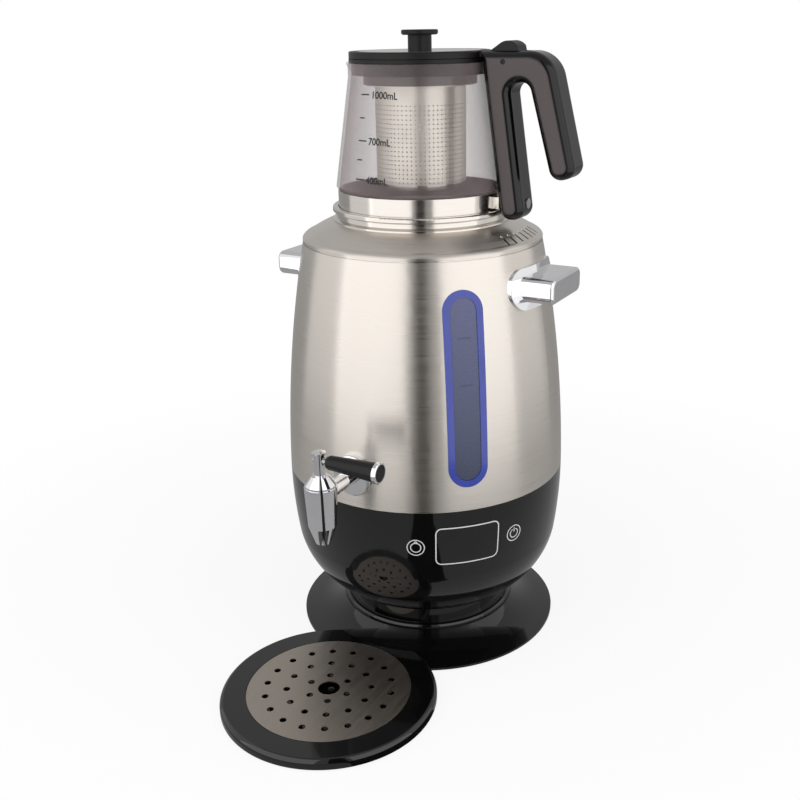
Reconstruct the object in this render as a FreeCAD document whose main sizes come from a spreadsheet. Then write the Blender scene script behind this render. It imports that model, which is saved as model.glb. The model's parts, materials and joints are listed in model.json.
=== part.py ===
import FreeCAD, Part
import Sketcher
import math
import os
from FreeCAD import Placement, Rotation, Vector

# Electric samovar: a steel water tank in a tapered steel shell, a black bowl with the
# electrics below it, a tap with a drip tray in front, and a glass teapot on the top cover.
# Millimetres. The origin is on the vertical axis at the table, +Z is up, and the tap and
# its tray are at -Y. The side handles are at +X and -X, the teapot handle is at +X.

DRIVING_SIZES = {
    # stand
    "foot_height": 1.2,
    "foot_radius": 7.0,
    "foot_circle": 72.0,
    "foot_recess": 1.0,
    "plate_radius": 84.0,
    "plate_thickness": 2.0,
    "skirt_radius": 103.7,
    "skirt_rim": 1.8,
    "skirt_flat_radius": 92.0,
    "skirt_flat_rise": 1.6,
    "skirt_curve": 41.0,
    "skirt_height": 13.8,
    "skirt_wall": 2.5,
    "skirt_top_radius": 70.0,
    "pedestal_radius": 66.5,
    "pedestal_foot": 69.5,
    "pedestal_height": 17.0,
    "pedestal_wall": 4.5,
    "post_radius": 4.0,
    "post_circle": 67.0,
    "screw_radius": 1.6,
    "screw_head_radius": 3.0,
    "screw_head": 0.9,
    # bowl
    "bowl_waist_height": 80.0,
    "bowl_waist_radius": 104.1,
    "bowl_curve": 67.0,
    "bowl_side_curve": 360.0,
    "bowl_wall": 2.5,
    "lip_height": 6.0,
    "lip_wall": 2.2,
    "seam_height": 136.0,
    # shell and tank
    "shell_radius": 108.1,
    "shell_top_radius": 89.3,
    "shell_height": 176.3,
    "shell_curve": 960.0,
    "shell_wall": 1.0,
    "shell_flange": 5.3,
    "tank_gap": 11.0,
    "tank_wall": 0.8,
    "tank_floor_rise": 10.0,
    "tank_flange": 0.8,
    # heater and electrics
    "heater_plate_radius": 72.0,
    "heater_plate_thickness": 5.0,
    "element_radius": 55.0,
    "element_tube": 4.0,
    "thermostat_radius": 9.0,
    "thermostat_height": 8.0,
    "thermostat_offset": 28.0,
    "tie_rod_radius": 3.0,
    "tie_nut_radius": 7.0,
    "tie_nut_height": 4.0,
    "board_length": 80.0,
    "board_width": 46.0,
    "board_thickness": 1.6,
    "board_height": 46.0,
    "board_offset": 32.0,
    "standoff_radius": 3.0,
    "transformer_length": 30.0,
    "transformer_width": 24.0,
    "transformer_height": 20.0,
    "relay_length": 20.0,
    "relay_width": 16.0,
    "relay_height": 15.0,
    # display
    "front_azimuth": -45.0,
    "panel_width": 52.0,
    "panel_height": 33.0,
    "panel_corner": 6.0,
    "panel_middle": 108.0,
    "display_width": 44.0,
    "display_height": 26.0,
    "display_depth": 6.0,
    "display_inset": 8.0,
    "control_board_width": 46.0,
    "control_board_height": 36.0,
    "key_radius": 6.7,
    "key_spread": 20.6,
    "key_length": 5.0,
    # appliance inlet
    "inlet_height": 100.0,
    "inlet_width": 27.0,
    "inlet_tall": 20.0,
    "inlet_flange": 2.0,
    "inlet_depth": 24.0,
    "recess_width": 24.0,
    "recess_tall": 16.5,
    "recess_depth": 17.0,
    "pin_width": 4.0,
    "pin_thickness": 2.0,
    "pin_length": 14.0,
    "pin_spread": 7.0,
    "pin_rise": 2.0,
    # level gauge
    "gauge_width": 29.0,
    "gauge_height": 139.4,
    "gauge_middle": 224.1,
    "gauge_proud": 1.0,
    "window_width": 19.0,
    "window_thickness": 2.6,
    "gauge_gasket": 2.5,
    "gauge_tube_radius": 2.6,
    "gauge_tube_length": 118.0,
    "gauge_tube_inset": 6.7,
    "gauge_port_spread": 50.0,
    "gauge_port_radius": 2.2,
    # side handles
    "handle_middle": 287.0,
    "handle_flange_width": 74.0,
    "handle_flange_height": 29.0,
    "handle_flange_thickness": 2.4,
    "handle_width": 54.0,
    "handle_thickness": 18.0,
    "handle_reach": 116.0,
    "handle_corner": 6.0,
    "handle_edge": 2.5,
    "handle_screw_spread": 17.0,
    "handle_screw_radius": 2.0,
    "handle_screw_length": 14.0,
    "handle_screw_head": 2.6,
    # tap
    "tap_reach": 148.5,
    "tap_outlet_drop": 34.6,
    "tap_outlet_radius": 5.4,
    "tap_outlet_bore": 4.0,
    "tap_taper_height": 13.2,
    "tap_waist_radius": 9.9,
    "tap_rim_radius": 11.4,
    "tap_body_rise": 8.0,
    "tap_chamber_radius": 7.5,
    "tap_chamber_drop": 18.0,
    "tap_bonnet_height": 8.0,
    "tap_bonnet_edge": 1.6,
    "tap_arm_rise": 25.0,
    "tap_arm_radius": 5.6,
    "tap_arm_bore": 3.4,
    "tap_nut_radius": 10.0,
    "tap_nut_thickness": 5.0,
    "tap_shank_end": 4.0,
    "tap_rose_radius": 15.5,
    "tap_rose_thickness": 3.0,
    "stem_radius": 4.0,
    "stem_rise": 26.3,
    "stem_cap_radius": 4.9,
    "stem_cap_height": 2.3,
    "lever_rise": 19.0,
    "lever_rod_radius": 2.2,
    "lever_start": 7.0,
    "lever_length": 38.0,
    "lever_root_radius": 5.0,
    "lever_end_radius": 6.7,
    "lever_ring_radius": 7.3,
    "lever_ring_length": 3.0,
    "lever_cap_radius": 5.9,
    # top cover
    "seat_gap": 0.3,
    "cover_edge_height": 1.7,
    "cover_shoulder_radius": 85.2,
    "cover_shoulder_height": 4.6,
    "cover_height": 15.0,
    "cover_curve": 6.0,
    "cover_slope_curve": 90.0,
    "cover_wall": 1.2,
    "collar_radius": 66.0,
    "collar_neck": 63.6,
    "collar_height": 10.0,
    "collar_lip": 3.0,
    "collar_foot": 1.2,
    "collar_step": 1.4,
    "collar_ledge": 55.0,
    "ledge_thickness": 3.0,
    "gasket_width": 3.0,
    "vent_inner": 77.0,
    "vent_outer": 86.0,
    "vent_width": 1.8,
    "vent_spacing": 5.5,
    # teapot
    "pot_radius": 61.5,
    "pot_band_height": 18.6,
    "pot_wall": 1.0,
    "pot_corner": 2.5,
    "pot_clearance": 0.5,
    "glass_radius": 62.6,
    "glass_wall": 2.2,
    "glass_shoulder": 2.4,
    "glass_neck_radius": 51.2,
    "glass_neck_height": 96.0,
    "glass_rim_height": 105.0,
    "spout_reach": 57.0,
    "spout_width": 16.0,
    "spout_drop": 11.0,
    "infuser_flange": 50.4,
    "infuser_flange_thickness": 2.5,
    "infuser_plug_depth": 8.0,
    "infuser_plug_gap": 0.5,
    "infuser_mouth": 36.0,
    "sleeve_radius": 40.5,
    "sleeve_height": 6.5,
    "basket_radius": 32.0,
    "basket_depth": 70.5,
    "basket_wall": 0.6,
    "basket_foot_height": 3.0,
    # lid
    "lid_radius": 50.3,
    "lid_thickness": 4.5,
    "lid_gap": 0.4,
    "lid_plug_radius": 34.8,
    "lid_plug_depth": 5.5,
    "lid_plug_wall": 2.0,
    "lid_inset_radius": 44.0,
    "lid_inset_depth": 0.8,
    "knob_stem_radius": 8.4,
    "knob_stem_height": 10.3,
    "knob_radius": 13.0,
    "knob_height": 3.5,
    "hinge_reach": 70.0,
    "hinge_drop": 2.4,
    "barrel_radius": 4.0,
    "pin_radius": 1.75,
    "lid_arm_width": 14.0,
    "thumb_height": 14.0,
    "thumb_reach": 9.0,
    "thumb_curve": 10.0,
    # teapot handle
    "grip_width": 26.0,
    "grip_top": 113.6,
    "grip_edge": 6.5,
    "strut_foot": 0.9,
    "strut_top_reach": 52.0,
    "strut_foot_reach": 67.9,
    "strut_depth": 18.4,
    "strut_foot_curve": 8.5,
    "arch_reach": 72.9,
    "arch_width": 14.4,
    "arch_radius": 7.2,
    "arch_height": 93.4,
    "grip_inner_reach": 105.4,
    "grip_depth": 18.0,
    "grip_end": 28.4,
    "grip_tilt": 4.8,
    "grip_end_margin": 0.4,
    "bend_reach": 103.2,
    "bend_curve": 21.0,
    "slot_clearance": 0.6,
    "slot_floor": 97.2,
    "slot_end": 86.0,
    "bracket_width": 16.0,
    "bracket_height": 8.0,
    "pot_screw_rise": 12.0,
    "pot_screw_radius": 1.8,
    "pot_screw_head": 3.6,
    "pot_screw_recess": 3.0,
    "pot_screw_head_height": 2.0,
    # drip tray
    "tray_offset": 152.0,
    "tray_radius": 79.0,
    "tray_top_radius": 76.0,
    "tray_height": 8.2,
    "tray_curve": 4.5,
    "tray_notch": 89.5,
    "tray_floor": 1.6,
    "well_radius": 45.5,
    "well_slope": 2.0,
    "ledge_height": 5.2,
    "ledge_radius": 57.0,
    "drain_radius": 60.4,
    "drain_gap": 0.5,
    "drain_thickness": 0.9,
    "drain_hole": 2.5,
    "drain_centre_hole": 8.0,
    "drain_ring_spacing": 15.4,
    "skirt_clearance": 0.4,
    # fits
    "running_fit": 0.05,
    "loose_fit": 0.2,
    "trim_gap": 0.5,
}

doc = FreeCAD.newDocument("Samovar")
sheet = doc.addObject("Spreadsheet::Sheet", "Sizes")
for row, (alias, number) in enumerate(DRIVING_SIZES.items(), start=1):
    sheet.set(f"A{row}", alias)
    sheet.set(f"B{row}", str(number))
    sheet.setAlias(f"B{row}", alias)
doc.recompute()


class Length:
    """A number together with the sheet expression that keeps it up to date."""

    def __init__(self, number, text=None):
        self.number = float(number)
        self.text = text or repr(float(number))

    def combine(self, other, sign, swap=False):
        other = as_length(other)
        first, second = (other, self) if swap else (self, other)
        number = {
            "+": first.number + second.number,
            "-": first.number - second.number,
            "*": first.number * second.number,
            "/": first.number / second.number if second.number else 0.0,
        }[sign]
        return Length(number, f"({first.text} {sign} {second.text})")

    def __add__(self, other):
        return self.combine(other, "+")

    def __sub__(self, other):
        return self.combine(other, "-")

    def __mul__(self, other):
        return self.combine(other, "*")

    def __truediv__(self, other):
        return self.combine(other, "/")

    def __radd__(self, other):
        return self.combine(other, "+", swap=True)

    def __rsub__(self, other):
        return self.combine(other, "-", swap=True)

    def __rmul__(self, other):
        return self.combine(other, "*", swap=True)

    def __neg__(self):
        return Length(0.0) - self


def as_length(value):
    return value if isinstance(value, Length) else Length(value)


class Sheet:
    """Reads a driving size by its name."""

    def __getattr__(self, alias):
        return Length(getattr(sheet, alias), f"Sizes.{alias}")


size = Sheet()


def bind(item, prop, length):
    """Set a property from the sheet, and keep it tied to it."""
    item.setExpression(prop, as_length(length).text)


# Sketches

def origin_plane(body, role):
    return next(plane for plane in body.Origin.OriginFeatures if plane.Role == role)


def new_sketch(body, role, height=None, turn=None):
    """A sketch on an origin plane of its body, raised along the normal or turned about Z."""
    sketch = body.newObject("Sketcher::SketchObject", "Sketch")
    sketch.AttachmentSupport = [(origin_plane(body, role), "")]
    sketch.MapMode = "FlatFace"
    if height is not None:
        height = as_length(height)
        sketch.AttachmentOffset = Placement(Vector(0, 0, height.number), Rotation())
        bind(sketch, "AttachmentOffset.Base.z", height)
    if turn is not None:
        turn = as_length(turn)
        axis = Vector(0, 0, 1) if role == "XY_Plane" else Vector(0, 1, 0)
        sketch.AttachmentOffset = Placement(Vector(), Rotation(axis, turn.number))
        bind(sketch, "AttachmentOffset.Rotation.Angle", turn)
    return sketch


def dimension(sketch, kind, where, length):
    """Add one dimension that follows the sheet."""
    length = as_length(length)
    index = sketch.addConstraint(Sketcher.Constraint(kind, *where, length.number))
    name = f"size{index}"
    sketch.renameConstraint(index, name)
    bind(sketch, f"Constraints.{name}", length)


def pin_point(sketch, edge, end, across, up):
    """Hold one end of an edge at a place given from the sketch origin."""
    for kind, length in (("DistanceX", across), ("DistanceY", up)):
        dimension(sketch, kind, (-1, 1, edge, end), length)


def arc_between(first, last, radius, turning):
    """The short arc from first to last, turning left (ccw) or right (cw)."""
    if turning == "cw":
        first, last = last, first
    chord = last - first
    half = chord.Length / 2
    rise = (radius * radius - half * half) ** 0.5
    side = Vector(-chord.y, chord.x, 0).normalize()
    centre = first + chord * 0.5 + side * rise
    return Part.Arc(first, centre + side * -radius, last)


def outline(sketch, corners):
    """A closed outline. A corner is (x, y), or (x, y, turning, radius) where an arc starts."""
    corners = [tuple(map(lambda v: v if isinstance(v, str) else as_length(v), c)) for c in corners]
    ends = []
    for index, corner in enumerate(corners):
        follower = corners[(index + 1) % len(corners)]
        first = Vector(corner[0].number, corner[1].number, 0)
        last = Vector(follower[0].number, follower[1].number, 0)
        if len(corner) == 2:
            edge = sketch.addGeometry(Part.LineSegment(first, last))
            ends.append((edge, 1, 2))
        else:
            edge = sketch.addGeometry(arc_between(first, last, corner[3].number, corner[2]))
            start_first = sketch.Geometry[edge].StartPoint.distanceToPoint(first) < 1e-6
            ends.append((edge, 1, 2) if start_first else (edge, 2, 1))
    for index, (edge, start, end) in enumerate(ends):
        follower, follower_start, _ = ends[(index + 1) % len(ends)]
        sketch.addConstraint(Sketcher.Constraint("Coincident", edge, end, follower, follower_start))
        corner = corners[index]
        pin_point(sketch, edge, start, corner[0], corner[1])
        if len(corner) > 2:
            dimension(sketch, "Radius", (edge,), corner[3])


def rounded_outline(sketch, corners):
    """A closed outline of straight sides whose (x, y, radius) corners are rounded."""
    corners = [tuple(as_length(value) for value in corner) for corner in corners]
    points = [Vector(across.number, up.number, 0) for across, up, _ in corners]
    count = len(corners)
    entries, exits = [], []
    for index, corner in enumerate(corners):
        before = (points[index - 1] - points[index]).normalize()
        after = (points[(index + 1) % count] - points[index]).normalize()
        reach = corner[2].number * math.tan(before.getAngle(after * -1) / 2)
        entries.append(points[index] + before * reach)
        exits.append(points[index] + after * reach)
    sides = [
        sketch.addGeometry(Part.LineSegment(exits[index], entries[(index + 1) % count]))
        for index in range(count)
    ]
    for index, (across, up, radius) in enumerate(corners):
        before, after = sides[index - 1], sides[index]
        if radius.number == 0:
            sketch.addConstraint(Sketcher.Constraint("Coincident", before, 2, after, 1))
            pin_point(sketch, after, 1, across, up)
            continue
        heading_in = points[index] - points[index - 1]
        heading_out = points[(index + 1) % count] - points[index]
        left = heading_in.cross(heading_out).z > 0
        turning = "ccw" if left else "cw"
        arc = sketch.addGeometry(arc_between(entries[index], exits[index], radius.number, turning))
        start, end = (1, 2) if left else (2, 1)
        corner_point = sketch.addGeometry(Part.Point(points[index]), True)
        pin_point(sketch, corner_point, 1, across, up)
        sketch.addConstraint(Sketcher.Constraint("PointOnObject", corner_point, 1, before))
        sketch.addConstraint(Sketcher.Constraint("PointOnObject", corner_point, 1, after))
        sketch.addConstraint(Sketcher.Constraint("Tangent", before, 2, arc, start))
        sketch.addConstraint(Sketcher.Constraint("Tangent", arc, end, after, 1))
        dimension(sketch, "Radius", (arc,), radius)


def circle(sketch, across, up, radius):
    centre = Vector(as_length(across).number, as_length(up).number, 0)
    edge = sketch.addGeometry(Part.Circle(centre, Vector(0, 0, 1), as_length(radius).number))
    pin_point(sketch, edge, 3, across, up)
    dimension(sketch, "Radius", (edge,), radius)


def rounded_box(sketch, across, up, width, tall, corner):
    """A rectangle with round corners about a centre."""
    left, right = across - width / 2, across + width / 2
    low, high = up - tall / 2, up + tall / 2
    outline(sketch, [
        (left + corner, low), (right - corner, low, "ccw", corner),
        (right, low + corner), (right, high - corner, "ccw", corner),
        (right - corner, high), (left + corner, high, "ccw", corner),
        (left, high - corner), (left, low + corner, "ccw", corner),
    ])


def stadium(sketch, up, width, tall):
    """An upright slot with half-round ends about the sketch's vertical axis."""
    half = width / 2
    low, high = up - tall / 2 + half, up + tall / 2 - half
    outline(sketch, [
        (-half, low, "ccw", half), (0, low - half, "ccw", half), (half, low),
        (half, high, "ccw", half), (0, high + half, "ccw", half), (-half, high),
    ])


# Features

def new_body(label):
    body = doc.addObject("PartDesign::Body", label)
    body.Label = label
    return body


def revolve(body, corners, kind="PartDesign::Revolution"):
    """Turn an outline of (radius, height) corners a full circle about Z."""
    sketch = new_sketch(body, "XZ_Plane")
    outline(sketch, corners)
    feature = body.newObject(kind, "Turn")
    feature.Profile = sketch
    feature.ReferenceAxis = (sketch, ["V_Axis"])
    feature.Angle = 360.0
    settle(feature)
    return feature


def settle(feature):
    """Recompute, and stop if the feature failed or cut nothing."""
    doc.recompute()
    base = feature.BaseFeature
    if base is not None and abs(base.Shape.Volume - feature.Shape.Volume) < 1e-3:
        raise RuntimeError(f"{feature.Name} changes nothing")


def extrude(body, sketch, length=None, cut=False, both_ways=False, backward=False):
    """Pad or pocket a sketch by a length, or cut through all where none is given."""
    kind = "PartDesign::Pocket" if cut else "PartDesign::Pad"
    feature = body.newObject(kind, "Cut" if cut else "Pad")
    feature.Profile = sketch
    feature.Reversed = backward
    if both_ways:
        feature.SideType = "Symmetric"
    if length is None:
        feature.Type = "ThroughAll"
    else:
        bind(feature, "Length", length)
    settle(feature)
    return feature


def polar(body, feature, count, angle=360.0):
    """Repeat a feature about the Z axis of its sketch's normal."""
    pattern = body.newObject("PartDesign::PolarPattern", "Pattern")
    pattern.Originals = [feature]
    pattern.Axis = (feature.Profile[0], ["N_Axis"])
    pattern.Occurrences = count
    if isinstance(angle, Length):
        bind(pattern, "Angle", angle)
    else:
        pattern.Angle = angle
    body.Tip = pattern
    settle(pattern)
    return pattern


def fillet(body, feature, edges, radius):
    """Round the edges of a feature that pass a test."""
    names = [f"Edge{i}" for i, edge in enumerate(feature.Shape.Edges, start=1) if edges(edge)]
    rounding = body.newObject("PartDesign::Fillet", "Round")
    rounding.Base = (feature, names)
    bind(rounding, "Radius", radius)
    settle(rounding)
    return rounding


def place(item, across=None, along=None, up=None, turn=None):
    """Tie the placement of an object to the sheet, turning it about Z."""
    angle = as_length(turn or 0.0)
    item.Placement = Placement(Vector(), Rotation(Vector(0, 0, 1), angle.number))
    if turn is not None:
        bind(item, "Placement.Rotation.Angle", angle)
    for axis, length in (("x", across), ("y", along), ("z", up)):
        if length is not None:
            bind(item, f"Placement.Base.{axis}", length)
    return item


def boolean(kind, label, first, second):
    """Cut, common or fuse of two objects, kept as one parametric object."""
    result = doc.addObject(f"Part::{kind}", label)
    result.Label = label
    if kind == "Cut":
        result.Base, result.Tool = first, second
    else:
        result.Shapes = [first, second]
    doc.recompute()
    return result


def cylinder(label, radius, height, across=0.0, along=0.0, up=0.0, axis=None):
    """A primitive cylinder, upright or along another axis."""
    item = doc.addObject("Part::Cylinder", label)
    item.Label = label
    bind(item, "Radius", radius)
    bind(item, "Height", height)
    item.Placement = Placement(Vector(), Rotation(Vector(0, 0, 1), axis or Vector(0, 0, 1)))
    for name, length in (("x", across), ("y", along), ("z", up)):
        bind(item, f"Placement.Base.{name}", length)
    return item


def block(label, sizes, corner):
    """A primitive box from its three sizes and its lowest corner."""
    item = doc.addObject("Part::Box", label)
    item.Label = label
    for name, length in zip(("Length", "Width", "Height"), sizes):
        bind(item, name, length)
    for name, length in zip("xyz", corner):
        bind(item, f"Placement.Base.{name}", length)
    return item


def group(label, items):
    """Several separate solids of one kind in one node."""
    result = doc.addObject("Part::Compound", label)
    result.Label = label
    result.Links = items
    return result


def prism(label, draw, start, end):
    """A bar along +X between two distances, with the outline that draw makes in Y and Z."""
    body = new_body(label)
    sketch = new_sketch(body, "YZ_Plane", height=start)
    draw(sketch)
    extrude(body, sketch, end - start)
    return body


# Heights and radii that several pieces share

bottom = size.foot_height
skirt_top = bottom + size.skirt_height
skirt_rim_top = bottom + size.skirt_rim
skirt_flat_top = skirt_rim_top + size.skirt_flat_rise
bowl_bottom = skirt_top + size.pedestal_height
seam = size.seam_height
shell_top = seam + size.shell_height
cover_bottom = shell_top + size.tank_flange + size.seat_gap
cover_top = cover_bottom + size.cover_height - size.tank_flange
pot_bottom = cover_top + size.ledge_thickness + size.seat_gap
rim = pot_bottom + size.pot_wall + size.glass_rim_height
tank_floor = seam + size.tank_floor_rise
tap_arm = seam + size.tap_arm_rise
tap_foot = tap_arm - size.tap_outlet_drop
tap_top = tap_arm + size.tap_body_rise
tap_chamber_floor = tap_arm - size.tap_chamber_drop
tap_stem_top = tap_top + size.stem_rise
lever_height = tap_top + size.lever_rise


def shell_line(inset):
    """The two ends and the curve of the shell's side, moved inward by an inset."""
    return (size.shell_radius - inset, seam), (size.shell_top_radius - inset, shell_top)


def shell_solid(label, inset):
    """Everything inside the shell's side, used to trim pieces that follow it."""
    low, high = shell_line(inset)
    body = new_body(label)
    revolve(body, [(0, seam), (*low, "ccw", size.shell_curve - inset), high, (0, shell_top)])
    return body


def bowl_line(inset):
    """The bowl's side from its floor to the seam, moved inward by an inset."""
    return (
        (size.pedestal_radius - inset / 2, bowl_bottom + inset, "ccw", size.bowl_curve - inset),
        (size.bowl_waist_radius - inset, size.bowl_waist_height, "ccw", size.bowl_side_curve - inset),
        (size.shell_radius - inset, seam),
    )


def bowl_solid(label, inset):
    body = new_body(label)
    line = bowl_line(inset)
    revolve(body, [(0, bowl_bottom + inset), *line, (0, seam)])
    return body


def skirt_line(rise):
    """The skirt's top surface from its rim to the pedestal, moved up by a clearance."""
    return (
        (size.skirt_radius + rise, skirt_rim_top + rise),
        (size.skirt_flat_radius, skirt_flat_top + rise, "cw", size.skirt_curve),
        (size.skirt_top_radius, skirt_top + rise),
    )


# Stand

def make_base_skirt():
    """Flared gloss disc that the samovar stands on, hollow below, with four screw posts."""
    body = new_body("base_skirt")
    hole = size.pedestal_radius - size.pedestal_wall
    wall = size.skirt_wall
    revolve(body, [
        (hole, skirt_top - wall),
        (size.skirt_top_radius - wall / 2, skirt_top - wall, "ccw", size.skirt_curve + wall),
        (size.skirt_flat_radius - wall / 2, skirt_flat_top - wall),
        (size.skirt_radius - wall, bottom),
        (size.skirt_radius, bottom),
        *skirt_line(0),
        (hole, skirt_top),
    ])
    top = bottom + size.plate_thickness
    sketch = new_sketch(body, "XY_Plane", height=top)
    circle(sketch, size.post_circle, 0, size.post_radius)
    polar(body, extrude(body, sketch, skirt_top - size.skirt_wall / 2 - top), 4)
    sketch = new_sketch(body, "XY_Plane", height=top)
    circle(sketch, size.post_circle, 0, size.screw_radius)
    polar(body, extrude(body, sketch, size.skirt_height / 2, cut=True, backward=True), 4)


def make_base_plate():
    """Flat bottom cover inside the skirt, with recesses for the feet and screw holes."""
    body = new_body("base_plate")
    revolve(body, [
        (0, bottom), (size.plate_radius, bottom),
        (size.plate_radius, bottom + size.plate_thickness), (0, bottom + size.plate_thickness),
    ])
    sketch = new_sketch(body, "XY_Plane", height=bottom)
    circle(sketch, 0, size.foot_circle, size.foot_radius)
    feet = extrude(body, sketch, size.foot_recess, cut=True, backward=True)
    place_between_posts(sketch)
    doc.recompute()
    polar(body, feet, 4)
    sketch = new_sketch(body, "XY_Plane", height=bottom)
    circle(sketch, size.post_circle, 0, size.screw_radius + size.loose_fit)
    polar(body, extrude(body, sketch, cut=True, backward=True), 4)


def place_between_posts(item):
    """Turn a sketch by 45 degrees, so that what it holds lies between the screw posts."""
    base = item.AttachmentOffset.Base
    item.AttachmentOffset = Placement(base, Rotation(Vector(0, 0, 1), 45.0))


def make_feet():
    """Four rubber discs seated in the recesses of the bottom cover."""
    body = new_body("rubber_feet")
    body.AllowCompound = True
    sketch = new_sketch(body, "XY_Plane")
    circle(sketch, 0, size.foot_circle, size.foot_radius)
    pad = extrude(body, sketch, size.foot_height + size.foot_recess)
    place_between_posts(sketch)
    doc.recompute()
    polar(body, pad, 4)


def make_base_screws():
    """Four pan-head screws from below, through the bottom cover into the skirt's posts."""
    body = new_body("base_screws")
    body.AllowCompound = True
    sketch = new_sketch(body, "XY_Plane", height=bottom - size.screw_head)
    circle(sketch, size.post_circle, 0, size.screw_head_radius)
    heads = extrude(body, sketch, size.screw_head)
    sketch = new_sketch(body, "XY_Plane", height=bottom)
    circle(sketch, size.post_circle, 0, size.screw_radius - size.running_fit)
    shanks = extrude(body, sketch, size.plate_thickness + size.skirt_height / 2 - 1)
    pattern = polar(body, heads, 4)
    pattern.Originals = [heads, shanks]
    doc.recompute()


def make_pedestal():
    """Round neck between the skirt and the bowl, with a small foot bead."""
    body = new_body("pedestal_neck")
    hole = size.pedestal_radius - size.pedestal_wall
    bead = size.pedestal_foot - size.pedestal_radius
    revolve(body, [
        (hole, skirt_top), (size.pedestal_foot, skirt_top),
        (size.pedestal_foot, skirt_top + bead / 2, "ccw", bead),
        (size.pedestal_radius, skirt_top + bead * 1.5),
        (size.pedestal_radius, bowl_bottom), (hole, bowl_bottom),
    ])


# Bowl and what it holds

def make_bowl():
    """Black moulded bowl with a lip that centres the shell, and openings in its side."""
    body = new_body("bowl_housing")
    wall = size.bowl_wall
    lip = size.shell_radius - size.shell_wall - size.loose_fit
    hole = size.tie_rod_radius + size.loose_fit
    floor, waist, _ = bowl_line(wall)
    lip_inside = lip - size.lip_wall
    revolve(body, [
        (hole, bowl_bottom),
        *bowl_line(0),
        (lip, seam), (lip, seam + size.lip_height),
        (lip_inside, seam + size.lip_height), (lip_inside, seam, "cw", waist[3]),
        (waist[0], waist[1], "cw", floor[3]),
        (floor[0], floor[1]),
        (hole, bowl_bottom + wall),
    ])
    sketch = new_sketch(body, "YZ_Plane", turn=size.front_azimuth)
    gap = size.loose_fit
    rounded_box(sketch, as_length(0), size.panel_middle, size.panel_width + gap,
                size.panel_height + gap, size.panel_corner + gap / 2)
    extrude(body, sketch, cut=True, backward=True)
    sketch = new_sketch(body, "YZ_Plane", turn=90.0)
    rounded_box(sketch, as_length(0), size.inlet_height, size.inlet_width + gap,
                size.inlet_tall + gap, size.handle_edge)
    extrude(body, sketch, cut=True, backward=True)


def make_display_panel():
    """Gloss window that lies flush in the bowl's side, in front of the display."""
    near, far = size.shell_radius - size.panel_width, size.shell_radius + size.bowl_wall * 2
    bar = prism("panel_bar", lambda sketch: rounded_box(
        sketch, as_length(0), size.panel_middle, size.panel_width, size.panel_height,
        size.panel_corner), near, far)
    skin = boolean("Cut", "panel_skin", bowl_solid("bowl_outside", as_length(0)),
                   bowl_solid("bowl_inside", size.bowl_wall))
    place(boolean("MultiCommon", "display_panel", bar, skin), turn=size.front_azimuth)


def make_display_module():
    """Display box behind the panel, and the control board that it is soldered to."""
    front = size.shell_radius - size.display_inset
    module = block("display_module", (size.display_depth, size.display_width, size.display_height), (0, 0, 0))
    board = block("control_board", (size.board_thickness, size.control_board_width,
                                    size.control_board_height), (0, 0, 0))
    back = front - size.display_depth
    items = (
        (module, back, size.display_width, size.display_height),
        (board, back - size.board_thickness, size.control_board_width, size.control_board_height),
    )
    for item, reach, width, tall in items:
        turn_out(item, reach, -(width / 2), size.panel_middle - tall / 2, size.front_azimuth)


def turn_out(item, reach, across, up, azimuth):
    """Place an object made along +X at a distance from the axis, at an azimuth."""
    azimuth = as_length(azimuth)
    reach, across = as_length(reach), as_length(across)
    item.Placement = Placement(Vector(), Rotation(Vector(0, 0, 1), azimuth.number))
    bind(item, "Placement.Rotation.Angle", azimuth)
    cosine, sine = f"cos({azimuth.text} * 1deg)", f"sin({azimuth.text} * 1deg)"
    item.setExpression("Placement.Base.x", f"{reach.text} * {cosine} - {across.text} * {sine}")
    item.setExpression("Placement.Base.y", f"{reach.text} * {sine} + {across.text} * {cosine}")
    bind(item, "Placement.Base.z", up)


def make_touch_keys():
    """Two sensor pads behind the wall, one on each side of the display."""
    pads = []
    for side in (-1, 1):
        pad = cylinder(f"touch_pad_{len(pads)}", size.key_radius, size.key_length, axis=Vector(1, 0, 0))
        inner = size.shell_radius - size.bowl_wall - size.key_length - 2.2
        angle = size.front_azimuth + size.key_spread * side
        pad.Placement = Placement(Vector(), Rotation(Vector(0, 0, 1), Vector(1, 0, 0)))
        bind(pad, "Placement.Base.x", inner)
        bind(pad, "Placement.Base.z", size.panel_middle)
        holder = group(f"touch_holder_{len(pads)}", [pad])
        place(holder, turn=angle)
        pads.append(holder)
    group("touch_sensors", pads)


def make_power_board():
    """Mains board on four posts on the bowl's floor, with its transformer and relay."""
    x0, y0 = -(size.board_length / 2), size.board_offset - size.board_width / 2
    block("power_board", (size.board_length, size.board_width, size.board_thickness),
          (x0, y0, size.board_height))
    floor = bowl_bottom + size.bowl_wall
    margin = size.standoff_radius * 2
    posts = []
    for across in (x0 + margin, -x0 - margin):
        for along in (y0 + margin, y0 + size.board_width - margin):
            posts.append(cylinder(f"post_{len(posts)}", size.standoff_radius,
                                  size.board_height - floor, across, along, floor))
    group("board_standoffs", posts)
    top = size.board_height + size.board_thickness
    block("transformer", (size.transformer_length, size.transformer_width, size.transformer_height),
          (x0 + margin, size.board_offset - size.transformer_width / 2, top))
    block("relay", (size.relay_length, size.relay_width, size.relay_height),
          (-x0 - margin - size.relay_length, size.board_offset - size.relay_width / 2, top))


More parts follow.
